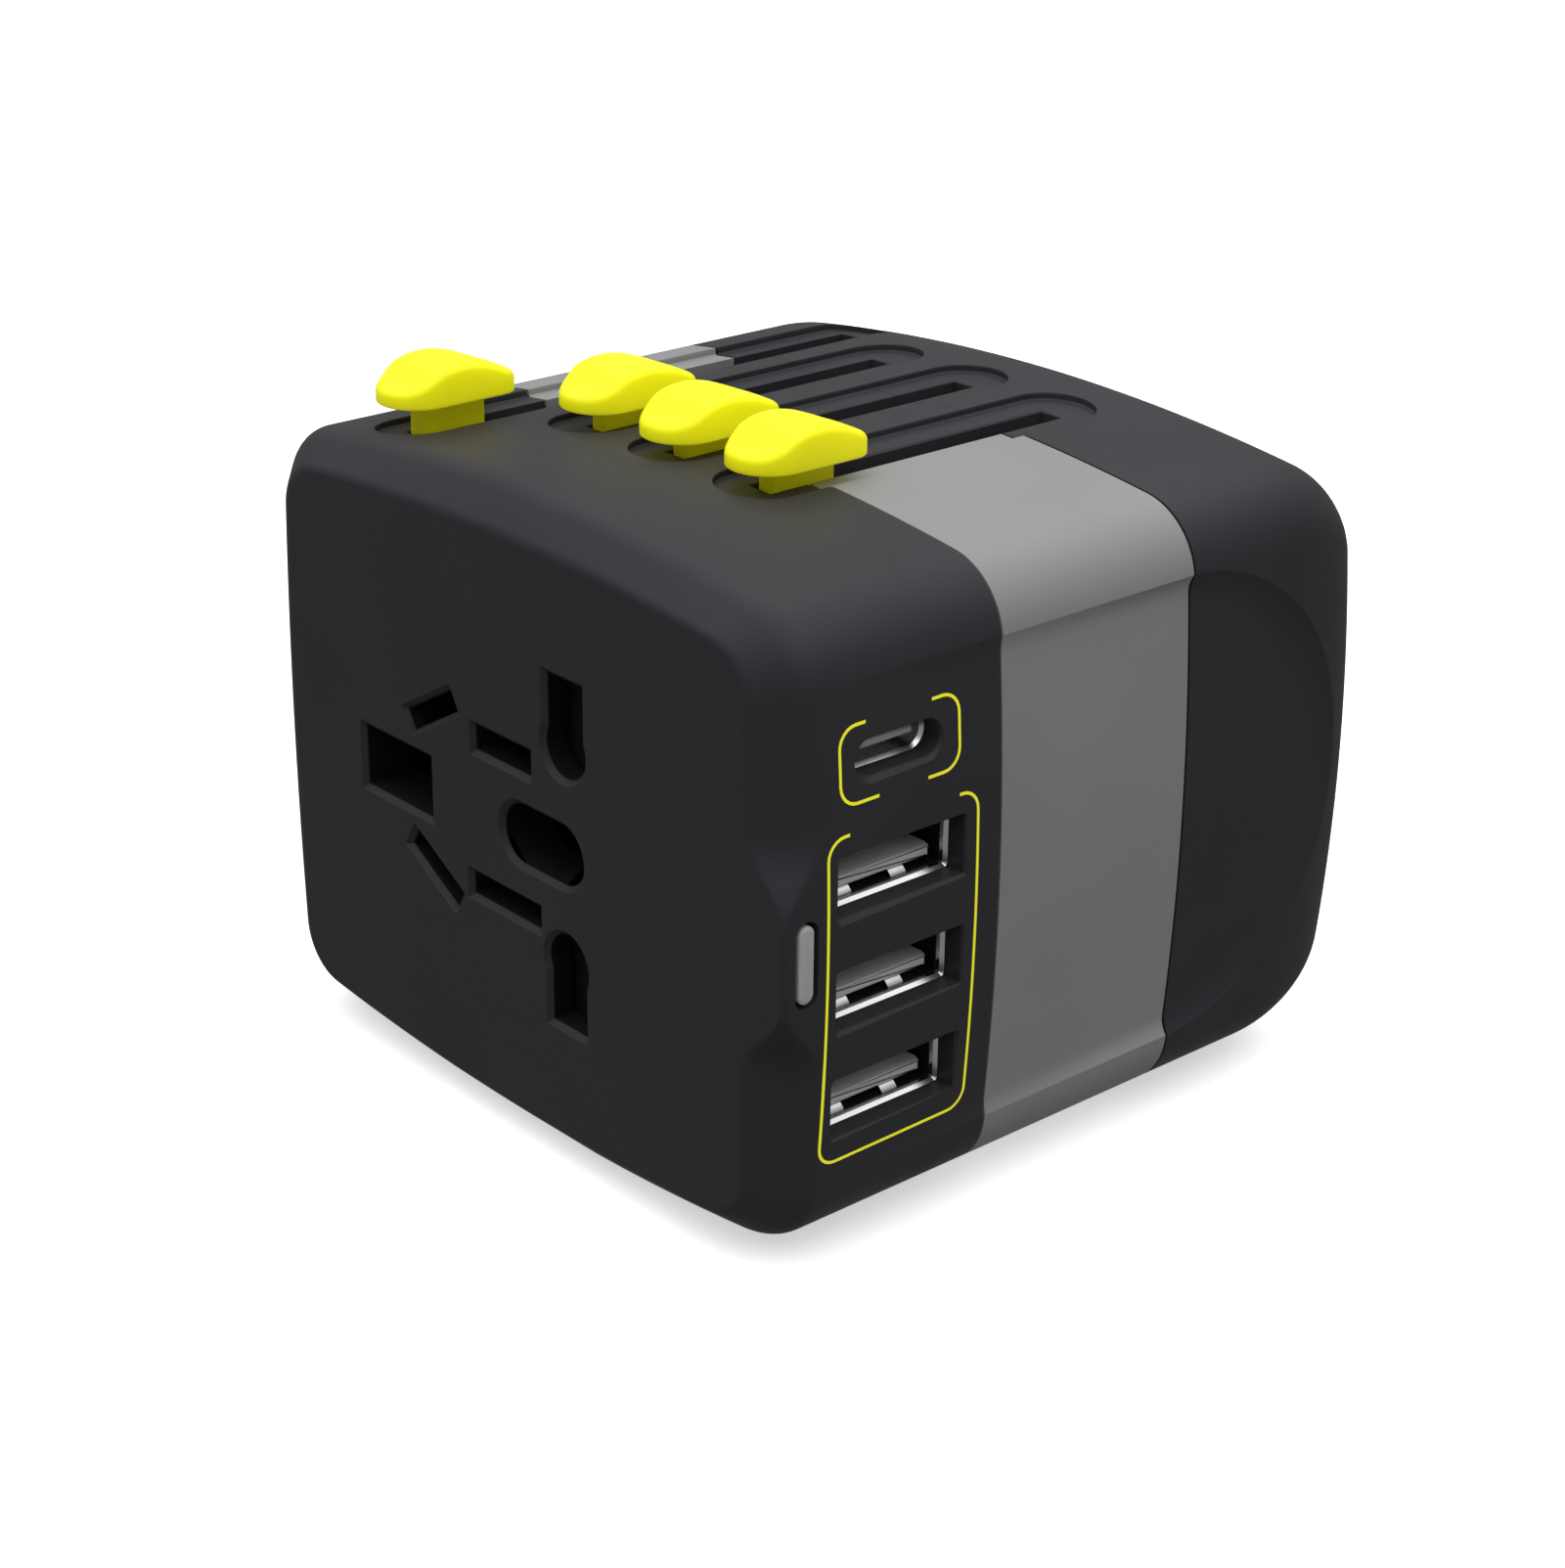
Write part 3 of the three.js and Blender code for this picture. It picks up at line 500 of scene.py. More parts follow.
DARK = finish_material("dark_satin_plastic", (0.0345, 0.034, 0.040), 0.45, specular=0.15)
SILVER = finish_material("silver_satin_paint", (0.275, 0.275, 0.275), 0.5, 0.03, 0.16, 0.003, specular=0.4)
YELLOW = finish_material("yellow_gloss_plastic_with_painted_light", (0.95, 0.89, 0.006), 0.42, 0.02, 0.3, 0.002, specular=0.2,
                         subsurface=0.6)
# Painted light: the caps glow, which lights their shaded sides brighter than the lamps do. The glow fades out
# below the caps, so the stems in the slots stay in shade.
PAINTED_LIGHT_COLOR = (0.95, 0.92, 0.02)
add_painted_light(YELLOW, PAINTED_LIGHT_COLOR, 0.2, 0.0545, 0.0555)  # only the caps, so that the stems in the slots stay dark
# Black plastic of the inner parts and pin sleeves, and also the thin sheets that paint the shade inside the
# socket's holes and the USB-A ports.
INNER = finish_material("black_inner_plastic_and_painted_shade", (0.006, 0.006, 0.0065), 0.6, 0.1, specular=0.2)
PALE = finish_material("pale_moulding", (0.55, 0.55, 0.53), 0.5, 0.04)
LAMP = finish_material("grey_light_lens", (0.5, 0.5, 0.5), 0.35, 0.02, 0.3, 0.001, subsurface=0.2)
PRINTED = finish_material("yellow_print_with_painted_light", (0.9, 0.86, 0.02), 0.55, 0.03, 0.1, 0.003)
# Painted light: the printed lines glow, which makes them brighter than the lamps light them.
add_painted_light(PRINTED, PAINTED_LIGHT_COLOR, 0.3, 0.0, 0.001)
NICKEL = finish_material("brushed_nickel", (0.72, 0.71, 0.68), 0.24, 0.04, 0.3, 0.004, 1.0,
                         stretch=(6, 0.5, 6))
PORT_STEEL = finish_material("port_steel", (0.78, 0.78, 0.78), 0.22, 0.03, 0.3, 0.002, 1.0)
STEEL = finish_material("screw_steel", (0.5, 0.5, 0.52), 0.3, 0.06, 0.3, 0.006, 1.0)
BRASS = finish_material("contact_brass", (0.75, 0.55, 0.22), 0.3, 0.06, 0.3, 0.004, 1.0)
BOARD = banded_material("green_circuit_board", "Z", 240, 6, (0.006, 0.06, 0.022), (0.02, 0.17, 0.06),
                        0.35, 0.03)
WINDING = banded_material("taped_winding", "Y", 500, 0.6, (0.35, 0.18, 0.03), (0.8, 0.6, 0.12), 0.4, 0.08)
TONGUE = finish_material("grey_port_tongue", (0.8, 0.8, 0.8), 0.45, 0.03)


# ----- the body's rounded section -----
def corner_facts(size):
    """Centre of the corner arc, and the angles where the side and the top run into it."""
    side_centre = size["width"] - size["side_radius"]
    top_centre = size["height"] - size["top_radius"]
    side_reach = size["side_radius"] - size["corner"]
    top_reach = size["top_radius"] - size["corner"]
    apart = math.hypot(side_centre, top_centre)
    along = (side_reach**2 - top_reach**2 + apart**2) / (2 * apart)
    aside = math.sqrt(side_reach**2 - along**2)
    ux, uz = -side_centre / apart, top_centre / apart
    x = side_centre + along * ux - aside * uz
    z = along * uz + aside * ux
    return x, z, math.atan2(z, x - side_centre), math.atan2(z - top_centre, x)


def side_reach(size):
    _, _, side_end, _ = corner_facts(size)
    return size["side_radius"] * math.sin(side_end)


def side_x(z, size=BODY):
    """x of the right side at a height: the long side arc, and the corner arcs above and below it."""
    if abs(z) <= side_reach(size):
        return size["width"] - size["side_radius"] + math.sqrt(size["side_radius"] ** 2 - z * z)
    x, centre, _, _ = corner_facts(size)
    return x + math.sqrt(size["corner"] ** 2 - (abs(z) - centre) ** 2)


def top_z(x, size=BODY):
    return size["height"] - size["top_radius"] + math.sqrt(size["top_radius"] ** 2 - x * x)


def rounding(y):
    """How far the section has shrunk across and up at a place in the rounding of the rear end."""
    s = min(max(1 - (DEPTH - y) / ROUNDING["length"], 0.0), 1.0)
    share = 1 - math.sqrt(1 - s * s)
    across = 1 - share * (1 - ROUNDING["width"] / BODY["width"])
    up = 1 - share * (1 - ROUNDING["height"] / BODY["height"])
    return across, up


def rounding_levels(before=0.0, steps=24):
    """Places along y for the rings of the rear rounding, up to a distance before the wall face."""
    last = math.asin(1 - before / ROUNDING["length"])
    return [DEPTH - ROUNDING["length"] * (1 - math.sin(t)) for t in spread(0, last, steps)]


def rounded_ring(points, y, at=None):
    across, up = rounding(y if at is None else at)
    return [(x * across, y, z * up) for x, z in points]


def side_at(y, z):
    across, up = rounding(y)
    return across * side_x(z / up)


def top_at(x, y):
    across, up = rounding(y)
    return up * top_z(x / across)


CREASE_STEPS = [0, 0.2, 0.4, 0.65, 0.95, 1.3, 1.7, 2.3]
SIDE_END = RECESS["top"] + 0.6  # a corner's own points start here, clear of the recess


def side_heights():
    """Where the section has points on the side, closest together beside the finger recess's two creases."""
    top, bottom = RECESS["top"], RECESS["bottom"]
    middle = spread(bottom + 3.2, top - 3.2, 30)
    heights = [-SIDE_END, (bottom - SIDE_END) / 2]
    heights += [bottom + s for s in CREASE_STEPS] + middle + [top - s for s in reversed(CREASE_STEPS)]
    return heights + [(top + SIDE_END) / 2]


CORNER_STEPS = 20
TOP_STEPS = 30


def section(size, inset=0.0):
    """Points round the section, anticlockwise from the lower end of the right side."""
    size = {key: value - inset for key, value in size.items()}
    x, z, _, top_start = corner_facts(size)
    start = math.asin((SIDE_END - corner_facts(BODY)[1]) / BODY["corner"])
    scale = (z + size["corner"] * math.sin(start)) / SIDE_END
    right = [(side_x(h * scale, size), h * scale) for h in side_heights()]
    corner = [(x + size["corner"] * math.cos(t), z + size["corner"] * math.sin(t))
              for t in spread(start, top_start, CORNER_STEPS)]
    top_end = size["top_radius"] * math.cos(top_start)
    top = [(a, top_z(a, size)) for a in spread(top_end, -top_end, 2 * TOP_STEPS)[1:-1]]
    left = [(-a, b) for a, b in reversed(right[1:])]
    upper_left = [(-a, b) for a, b in reversed(corner)]
    lower_left = [(-a, -b) for a, b in corner]
    bottom = [(a, -top_z(a, size)) for a in spread(-top_end, top_end, 2 * TOP_STEPS)[1:-1]]
    lower_right = [(a, -b) for a, b in reversed(corner)]
    ring = right + corner + top + upper_left + left + lower_left + bottom + lower_right[:-1]
    floor = inset - BASE
    return [(a, max(b, floor)) for a, b in ring]


def bevel_share(x, z):
    """How much of the bevel is left: all of it away from the status light."""
    if x < BODY["width"] / 2:
        return 1.0
    reach = smoothstep(abs(z - BUMP["z"]), BUMP["flat"], BUMP["reach"])
    return BUMP["left"] + (1 - BUMP["left"]) * reach


def recess_depth(y):
    return max(RECESS["slope"] * (y - RECESS["zero"]), 0.0)


def recess_profile(distance, width):
    """Share of the full depth at a distance from the recess's edge: a concave wall that meets the floor."""
    t = distance / width
    if t < 0:
        return 2 * t
    return 1 - (1 - min(t, 1.0)) ** 2


def sunk(y, z):
    """Depth of the finger recess below the side's own surface, on the front shell and the band."""
    edge = min(RECESS["top"] - z, z - RECESS["bottom"])
    return recess_depth(y) * recess_profile(edge, RECESS_WALL["band"]) if edge > 0 else 0.0


def side_surface(y, z):
    return side_x(z) - sunk(y, z)


def quadratic(p0, p1, p2, steps):
    """Points on a quadratic curve from p0 to p2 that bends towards p1."""
    def at(t):
        return tuple(mix(mix(a, b, t), mix(b, c, t), t) for a, b, c in zip(p0, p1, p2))

    return [at(t) for t in spread(0, 1, steps)]


def bevel_profile():
    """(share of the way from face section to body section, y) along the rounded bevel."""
    face, body = FACE_ROUND / BEVEL, BODY_ROUND / BEVEL
    at_face = quadratic((-face, 0.0), (0.0, 0.0), (face, FACE_ROUND), 5)
    at_body = quadratic((1 - body, BEVEL - BODY_ROUND), (1.0, BEVEL), (1.0, BEVEL + 1.3 * BODY_ROUND), 7)
    return at_face + at_body


def sunk_side(x, y, z):
    """How far the finger recess moves a point of the section in x, on either side of the body."""
    return math.copysign(sunk(y, z), x) if abs(x) > BODY["width"] - 1.5 else 0.0


def bevel_ring(w, y, full, face, recessed):
    ring = []
    for (fx, fz), (cx, cz) in zip(full, face):
        share = bevel_share(fx, fz)
        travel = 1 - share * (1 - w)
        x, z = mix(cx, fx, travel), mix(cz, fz, travel)
        inward = sunk_side(fx, y * share, fz) if recessed else 0.0
        ring.append((x - inward, y * share, z))
    return ring


def closing(ring, outwards):
    """Rings that carry on across an end face, so that it is made of small faces."""
    inner = [[(x * s, y, z * s) for x, y, z in ring] for s in (0.75, 0.5, 0.25, 0.04)]
    return inner if outwards else inner[::-1]


def body_solid(recessed):
    full, face = section(BODY), section(FACE)
    bevel = [bevel_ring(w, y, full, face, recessed) for w, y in bevel_profile()]
    middle = []
    for y in spread(BEVEL + 2 * BODY_ROUND, DEPTH - ROUNDING["length"], 30)[:-1]:
        middle.append([(x - (sunk_side(x, y, z) if recessed else 0.0), y, z) for x, z in full])
    rear = [rounded_ring(full, y) for y in rounding_levels()]
    return loft(closing(bevel[0], False) + bevel + middle + rear + closing(rear[-1], True))


def cavity_solid():
    full, face = section(BODY, WALL), section(FACE, WALL)
    setback = WALL + 0.2
    ahead = 1.2  # the inside rounds off this much before the outside does
    front = [[(x, y, z) for x, z in points] for points, y in ((face, setback), (full, setback + BEVEL))]
    return loft(front + [rounded_ring(full, y - ahead, y) for y in rounding_levels(setback - ahead, 10)])


# ----- cuts in the housing -----
def track_cutter(slider):
    """The shallow track that a cap slides over. Its floor follows the lid's crown."""
    start, end, half = slider["start"], slider["end"], TRACK["half_width"]
    steps = 20
    outline = stadium(slider["x"], (start + end) / 2, 2 * half, end - start + 2 * half, steps)
    depth = TRACK["depth"]

    def floor(x, y):
        return top_at(x, y) - depth

    def rim(x, y):
        return top_at(x, y) - 0.1

    levels = [(30, 1.5), (rim, 0), (lambda x, y: floor(x, y) + 0.12, -0.02), (floor, -0.18)]
    return along_z(outline, levels, pair_sum=2 * steps + 1)


def slot_cutter(slider):
    half = SLOT_WIDTH / 2
    start = min(slider["start"], slider["stem"] - 0.5)
    outline = rectangle(slider["x"] - half, slider["x"] + half, start, slider["end"])
    floor = top_z(slider["x"]) - TRACK["depth"]
    return along_z(outline, [(18, 0), (floor - 0.12, 0), (floor + 0.28, 0.4)])


def line_hole(sign):
    hole = LINE_HOLE
    middle, half = (hole["x0"] + hole["x1"]) / 2, (hole["x1"] - hole["x0"]) / 2
    meet_angle = math.degrees(math.acos(half / hole["round_radius"]))
    curve = arc(middle, hole["round_z"], hole["round_radius"], 180 - meet_angle, 360 + meet_angle, 24)
    outline = [(hole["x0"], hole["outer"]), *curve, (hole["x1"], hole["outer"])]
    if sign < 0:
        outline = [(a, -b) for a, b in reversed(outline)]
    return outline


def socket_outlines():
    hole, ring = EARTH_HOLE, ROUND_EARTH
    return [
        rectangle(hole["x0"], hole["x1"], -hole["half_height"], hole["half_height"]),
        stadium(ring["x"], ring["z"], ring["length"], ring["width"], 16),
        *[slanted_bar(*bar.values()) for bar in BLADES],
        line_hole(1),
        line_hole(-1),
    ]


def socket_cutters():
    """The holes. The chamfer at the face lies inside the outline, so its outer edge is the true size."""
    levels = [(-0.3, 0.3), (LIP, -LIP), (COLLAR_END + 1, -LIP)]
    return [along_y(outline, levels) for outline in socket_outlines()]


def build_hole_shade_sheets():
    """Thin black sheets on the walls of the socket's holes, which paint the shade inside them. Those of the
    two line holes end in front of the shutter.
    """
    outlines = socket_outlines()
    outer, inner = HOLE_SHADE_SHEET["sunk"] - LIP, -LIP - HOLE_SHADE_SHEET["inside"]
    for i, outline in enumerate(outlines, 1):
        is_line_hole = i > len(outlines) - 2
        end = HOLE_SHADE_SHEET["line_hole_end"] if is_line_hole else COLLAR_END
        # A thin black sheet on the hole's wall: painted shade.
        sleeve = along_y(outline, [(LIP + HOLE_SHADE_SHEET["inside"], outer), (end, outer)])
        cut(sleeve, along_y(outline, [(0, inner), (end + 1, inner)]))
        finish_piece(sleeve, f"socket_hole_shade_sheet_{i}", "housing", INNER)


def collars():
    """Solid stock behind the face, so that the holes clear of the shutter have deep walls."""
    return [
        box(-21.4, 4.4, WALL - 0.5, COLLAR_END, -11, 11),
        box(4.3, 10.9, WALL - 0.5, COLLAR_END, -3.9, 4.1),
    ]


def port_cutter(outline, z):
    """A port's mouth with its chamfer, and the wider pocket behind it for the metal sleeve."""
    surface = side_x(z)
    inner = surface - RIM_DEPTH
    pocket = [(inner - 1.2, 0.7), (inner - 0.02, 0.7)]
    mouth = [(inner, -USB_LIP), (surface - USB_LIP - 0.1, -USB_LIP), (surface + 1.5, USB_LIP + 1.0)]
    return along_x(outline, pocket + mouth)


def port_outline_a(z):
    y, half_y, half_z = USB_A["y"], USB_A["width"] / 2, USB_A["height"] / 2
    return rounded(y - half_y, y + half_y, z - half_z, z + half_z, 0.45, 4)


def port_outline_c():
    return stadium(USB_C["y"], USB_C["z"], USB_C["width"], USB_C["height"])


def light_outline(grow=0.0):
    return stadium(LIGHT["y"], LIGHT["z"], LIGHT["width"] + grow, LIGHT["height"] + grow)


# shares of the curved wall's width, and of the way from the wall to the middle of the recess
RECESS_WALL_STEPS = [-0.12, -0.05, 0, 0.06, 0.14, 0.24, 0.36, 0.5, 0.66, 0.82, 1.0, 1.2]
RECESS_FLOOR_STEPS = [0.25, 0.5, 0.75, 0.999]


def recess_ring(side, angle):
    """One spoke of the recess's round end: down its wall, over its floor to the middle, and back outside."""
    centre_z = (RECESS["top"] + RECESS["bottom"]) / 2
    half = (RECESS["top"] - RECESS["bottom"]) / 2
    c, s = math.cos(angle), math.sin(angle)
    widening = c**0.7 if c > 1e-6 else 0
    width = mix(RECESS_WALL["band"], RECESS_WALL["rear"], widening)
    reach = math.hypot(RECESS["reach"] * c, half * s)
    distances = [share * width for share in RECESS_WALL_STEPS]
    distances += [mix(distances[-1], reach, t) for t in RECESS_FLOOR_STEPS]
    ring = []
    for distance in distances:
        inward = 1 - distance / reach
        y = RECESS["end"] + RECESS["reach"] * c * inward
        z = centre_z + half * s * inward
        depth = recess_depth(y) * recess_profile(distance, width)
        ring.append((side * (side_at(y, z) - depth), y, z))
    outer = side * (BODY["width"] + 6)
    return [*ring, (outer, *ring[-1][1:]), (outer, *ring[0][1:])]


def recess_cutter(side):
    """Cutter for the round rear end of a finger recess. Its inner surface is the recess's floor and wall."""
    return loft([recess_ring(side, angle) for angle in spread(-math.pi / 2, math.pi / 2, 60)])


# ----- housing -----
def pin_outlines():
    """Outlines of the nine plug pins in x and z, by CAD node."""

    def block(x, z, width, height):
        return rectangle(x - width / 2, x + width / 2, z - height / 2, z + height / 2)

    outlines = {
        "uk_live_pin": block(-UK["spacing"] / 2, UK["line_z"], UK["wide"], UK["thick"]),
        "uk_neutral_pin": block(UK["spacing"] / 2, UK["line_z"], UK["wide"], UK["thick"]),
        "uk_earth_pin": block(0, UK["earth_z"], UK["thick"], UK["tall"]),
    }
    for side, word in ((-1, "left"), (1, "right")):
        outlines[f"eu_pin_{word}"] = circle(side * EU["spacing"] / 2, EU["z"], EU["diameter"] / 2, 40)
        outlines[f"us_blade_{word}"] = block(side * US["spacing"] / 2, US["z"], US["thick"], US["tall"])
        outlines[f"au_blade_{word}"] = slanted_bar(
            side * AU["spacing"] / 2, AU["z"], AU["tall"], AU["thick"], math.pi / 2 - side * AU["tilt"])
    return outlines


def screw_places():
    return [(i * SCREW["x"], j * SCREW["z"]) for i, j in ((1, 1), (-1, 1), (-1, -1), (1, -1))]


def blank(recessed):
    """The whole hollow body with its tracks and slots, before it is parted."""
    shell = cut(body_solid(recessed), cavity_solid())
    for slider in SLIDERS.values():
        cut(shell, track_cutter(slider), slot_cutter(slider))
    return shell


HALF_GAP = SEAM_GAP / 2
HALF_SLOT = SLOT_WIDTH / 2
FIRST_SLOT, LAST_SLOT = SLIDERS["uk"]["x"], SLIDERS["au"]["x"]


def slab(y0, y1):
    return box(-OUTSIDE, OUTSIDE, y0, y1, -OUTSIDE, OUTSIDE)


def band_part(shell):
    """The band is open at the top, where the plate with the tracks lies."""
    band = meet(shell, slab(SEAM_FRONT + HALF_GAP, SEAM_REAR - HALF_GAP))
    top = box(FIRST_SLOT - HALF_SLOT, LAST_SLOT + HALF_SLOT, SEAM_FRONT - 1, SEAM_REAR + 1, 20, OUTSIDE)
    return cut(band, top)


def front_part(shell):
    """The socket face and the USB side, in one piece with the plate between the band's ends."""
    plate = box(FIRST_SLOT + HALF_SLOT, LAST_SLOT - HALF_SLOT, SEAM_FRONT - 1, SEAM_REAR - 0.02, 20, OUTSIDE)
    front = meet(shell, unite(slab(-1, SEAM_FRONT - HALF_GAP), plate))
    unite(front, *collars())
    cut(front, *socket_cutters())
    cut(front, *[port_cutter(port_outline_a(z), z) for z in USB_A["centres"]])
    cut(front, port_cutter(port_outline_c(), USB_C["z"]))
    return cut(front, along_x(light_outline(2 * LIGHT["gap"]), [(20, 0), (BODY["width"] + 1, 0)]))


def pin_hole(outline):
    """A hole in the wall face with a chamfered mouth. The cutter runs on a little past the face."""
    lip, past = 0.3, 0.5
    straight = [(DEPTH - 5, PIN_CLEARANCE), (DEPTH - lip, PIN_CLEARANCE)]
    return along_y(outline, [*straight, (DEPTH + past, PIN_CLEARANCE + lip + past)])


def add_screw_well(rear, x, z):
    """A seat for a screw, with a well for its head and a hole for its shaft."""
    front = SCREW["front"]
    seat = circle(x, z, SCREW["head"] + 0.5)
    well = circle(x, z, SCREW["head"] + 0.2)
    hole = circle(x, z, SCREW["shaft"] + 0.15)
    unite(rear, along_y(seat, [(front - 1.2, 0), (DEPTH - WALL + 0.3, 0)]))
    cut(rear, along_y(well, [(front - 0.1, 0), (DEPTH - 0.25, 0), (DEPTH + 0.5, 0.75)]))
    cut(rear, along_y(hole, [(front - 3, 0), (front + 1, 0)]))


def rear_part():
    """The rear half. The seam in front of it is left out where the plate with the tracks meets it."""
    rear = meet(blank(False), slab(SEAM_REAR + 0.02, DEPTH + 1))
    y0, y1 = SEAM_REAR - 1, SEAM_REAR + HALF_GAP
    left, right = FIRST_SLOT - HALF_SLOT, LAST_SLOT + HALF_SLOT
    seam = unite(
        box(-OUTSIDE, left, y0, y1, -OUTSIDE, OUTSIDE),
        box(right, OUTSIDE, y0, y1, -OUTSIDE, OUTSIDE),
        box(left - 0.1, right + 0.1, y0, y1, -OUTSIDE, 15),
    )
    cut(rear, seam, recess_cutter(1), recess_cutter(-1))
    cut(rear, *[pin_hole(outline) for outline in pin_outlines().values()])
    for x, z in screw_places():
        add_screw_well(rear, x, z)
    return rear


def build_housing():
    shell = blank(True)
    band = band_part(copy_of(shell))
    finish_piece(front_part(shell), "front_case", "housing", DARK, ["front_shell"], 14)
    finish_piece(band, "middle_band", "housing", SILVER, ["side_band"], 14)
    finish_piece(rear_part(), "rear_case", "housing", DARK, ["rear_shell"], 14)


# ----- sliders -----
def cap_outline(x, start):
    """Plan of a cap from its front tip round: a half circle in front, two rounded corners behind."""
    half, length, corner = CAP["width"] / 2, CAP["length"], CAP["rear_round"]
    front = arc(x, start + half, half, 180, 360, CAP_FRONT_STEPS)
    straight = spread(start + half, start + length - corner, 12)
    side = [(x + half, y) for y in straight[1:]]
    rear_right = arc(x + half - corner, start + length - corner, corner, 0, 90, 8)[1:]
    rear = [(x + half - corner - (CAP["width"] - 2 * corner) * t, start + length) for t in (0.25, 0.5, 0.75)]
    rear_left = arc(x - half + corner, start + length - corner, corner, 90, 180, 8)
    back_side = [(x - half, y) for y in straight[-2:0:-1]]
    return front + side + rear_right + rear + rear_left + back_side


def cap_top(x, start, a, b):
    crown = CAP["crown"] * ((a - x) / (CAP["width"] / 2)) ** 2
    return CAP["bottom"] + curve_height(CAP_PROFILE, b - start) - crown


def cap_solid(slider):
    x, start = slider["x"], slider["stem"] - CAP["ahead"]
    half, fillet = CAP["width"] / 2, CAP["fillet"]
    outline = cap_outline(x, start)
    hub = [(x, min(max(b, start + half), start + CAP["length"] - half)) for _, b in outline]

    def ring(distance, height):
        points = []
        for (a, b), (ha, hb) in zip(outline, hub):
            t = distance / math.hypot(a - ha, b - hb)
            pa, pb = mix(a, ha, t), mix(b, hb, t)
            points.append((pa, pb, height(pa, pb)))
        return points

    def top_less(drop):
        return lambda a, b: cap_top(x, start, a, b) - drop

    bottom = CAP["bottom"]
    edge = 0.08
    rings = [ring(edge, lambda a, b: bottom), ring(0, lambda a, b: bottom + edge)]
    for share in (0.35, 0.75):
        rings.append(ring(0, lambda a, b, s=share: mix(bottom + edge, cap_top(x, start, a, b) - fillet, s)))
    for angle in spread(0, math.pi / 2, 7):
        rings.append(ring(fillet * (1 - math.cos(angle)), top_less(fillet * (1 - math.sin(angle)))))
    for distance in (1.0, 1.45, 1.9, 2.35, 2.8, 3.1):
        rings.append(ring(distance, top_less(0)))
    return loft(rings, pair_sum=CAP_FRONT_STEPS)


def stem_solid(slider):
    half = STEM["width"] / 2
    y0 = slider["stem"]
    outline = rounded(slider["x"] - half, slider["x"] + half, y0, y0 + STEM["length"], 0.15, 3)
    return along_z(outline, [(STEM["bottom"], 0), (CAP["bottom"] + 0.5, 0)])


def build_sliders():
    for name, slider in SLIDERS.items():
        solid = unite(cap_solid(slider), stem_solid(slider))
        finish_piece(solid, f"thumb_slider_{name}", f"{name}_set", YELLOW,
                     [f"slider_{name}"], 35)


# ----- plug pins -----
def pin_tip(name):
    return (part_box(name)[1].y - ORIGIN.y) / MM


def tip_levels(name, tip):
    """(y, growth) of the metal from the carriage to the tip: a dome on round pins, else a chamfer."""
    if name.startswith("eu"):
        radius = EU["diameter"] / 2
        dome = [(tip - radius + radius * math.sin(t), radius * (math.cos(t) - 1)) for t in spread(0, 1.45, 8)]
        return [(PIN_START, 0), *dome]
    thick = UK["thick"] if name.startswith("uk") else US["thick"]
    chamfer = thick / 2 * 0.55
    return [(PIN_START, 0), (tip - 2.2 * chamfer, 0), (tip - 0.5 * chamfer, -0.6 * chamfer), (tip, -chamfer)]


def build_pins():
    for name, outline in pin_outlines().items():
        kind = name[:2]
        tip = pin_tip(name)
        bare = BARE_TIP[kind]
        sleeved = bare is not None and name != "uk_earth_pin"
        levels = tip_levels(name, tip)
        if sleeved:
            neck = tip - bare
            levels = [(PIN_START, -0.25), (neck - 0.3, -0.25), (neck, -0.02), *levels[1:]]
        metal = along_y(outline, levels)
        if kind == "us":
            x = (min(a for a, _ in outline) + max(a for a, _ in outline)) / 2
            hole = [(tip - 4.5 + a, US["z"] + b) for a, b in circle(0, 0, 1.6, 24)]
            cut(metal, along_x(hole, [(x - 3, 0), (x + 3, 0)]))
        finish_piece(metal, f"{name}_metal", f"{kind}_set", NICKEL, [name])
        if sleeved:
            sleeve = along_y(outline, [(PIN_START, 0.02), (neck - 0.45, 0.02), (neck - 0.25, -0.12)])
            cut(sleeve, along_y(outline, [(PIN_START - 1, -0.24), (DEPTH + 30, -0.24)]))
            finish_piece(sleeve, f"{name}_sleeve", f"{kind}_set", INNER)


# ----- USB ports -----
def port_shell(outer, rim_x):
    """Drawn steel sleeve of a port, closed at the back, with a bright chamfer round its mouth."""
    levels = [(PORT_BACK, 0), (rim_x, 0), (rim_x, RIM_CHAMFER - SHEET), (rim_x - RIM_CHAMFER, -SHEET),
              (PORT_BACK + SHEET, -SHEET)]
    return along_x(outer, levels)


def spring_leaf(y, floor, rim_x, way=1):
    """A sprung tab punched from the sleeve: it rises from the sleeve's wall and curls back at its end."""
    path = [(rim_x - depth, rise) for depth, rise in LEAF_PROFILE]
    ring = path + [(a, b + LEAF["sheet"]) for a, b in reversed(path)]
    return loft([[(a, y + s * LEAF["half_width"], floor + way * b) for a, b in ring] for s in (-1, 1)])


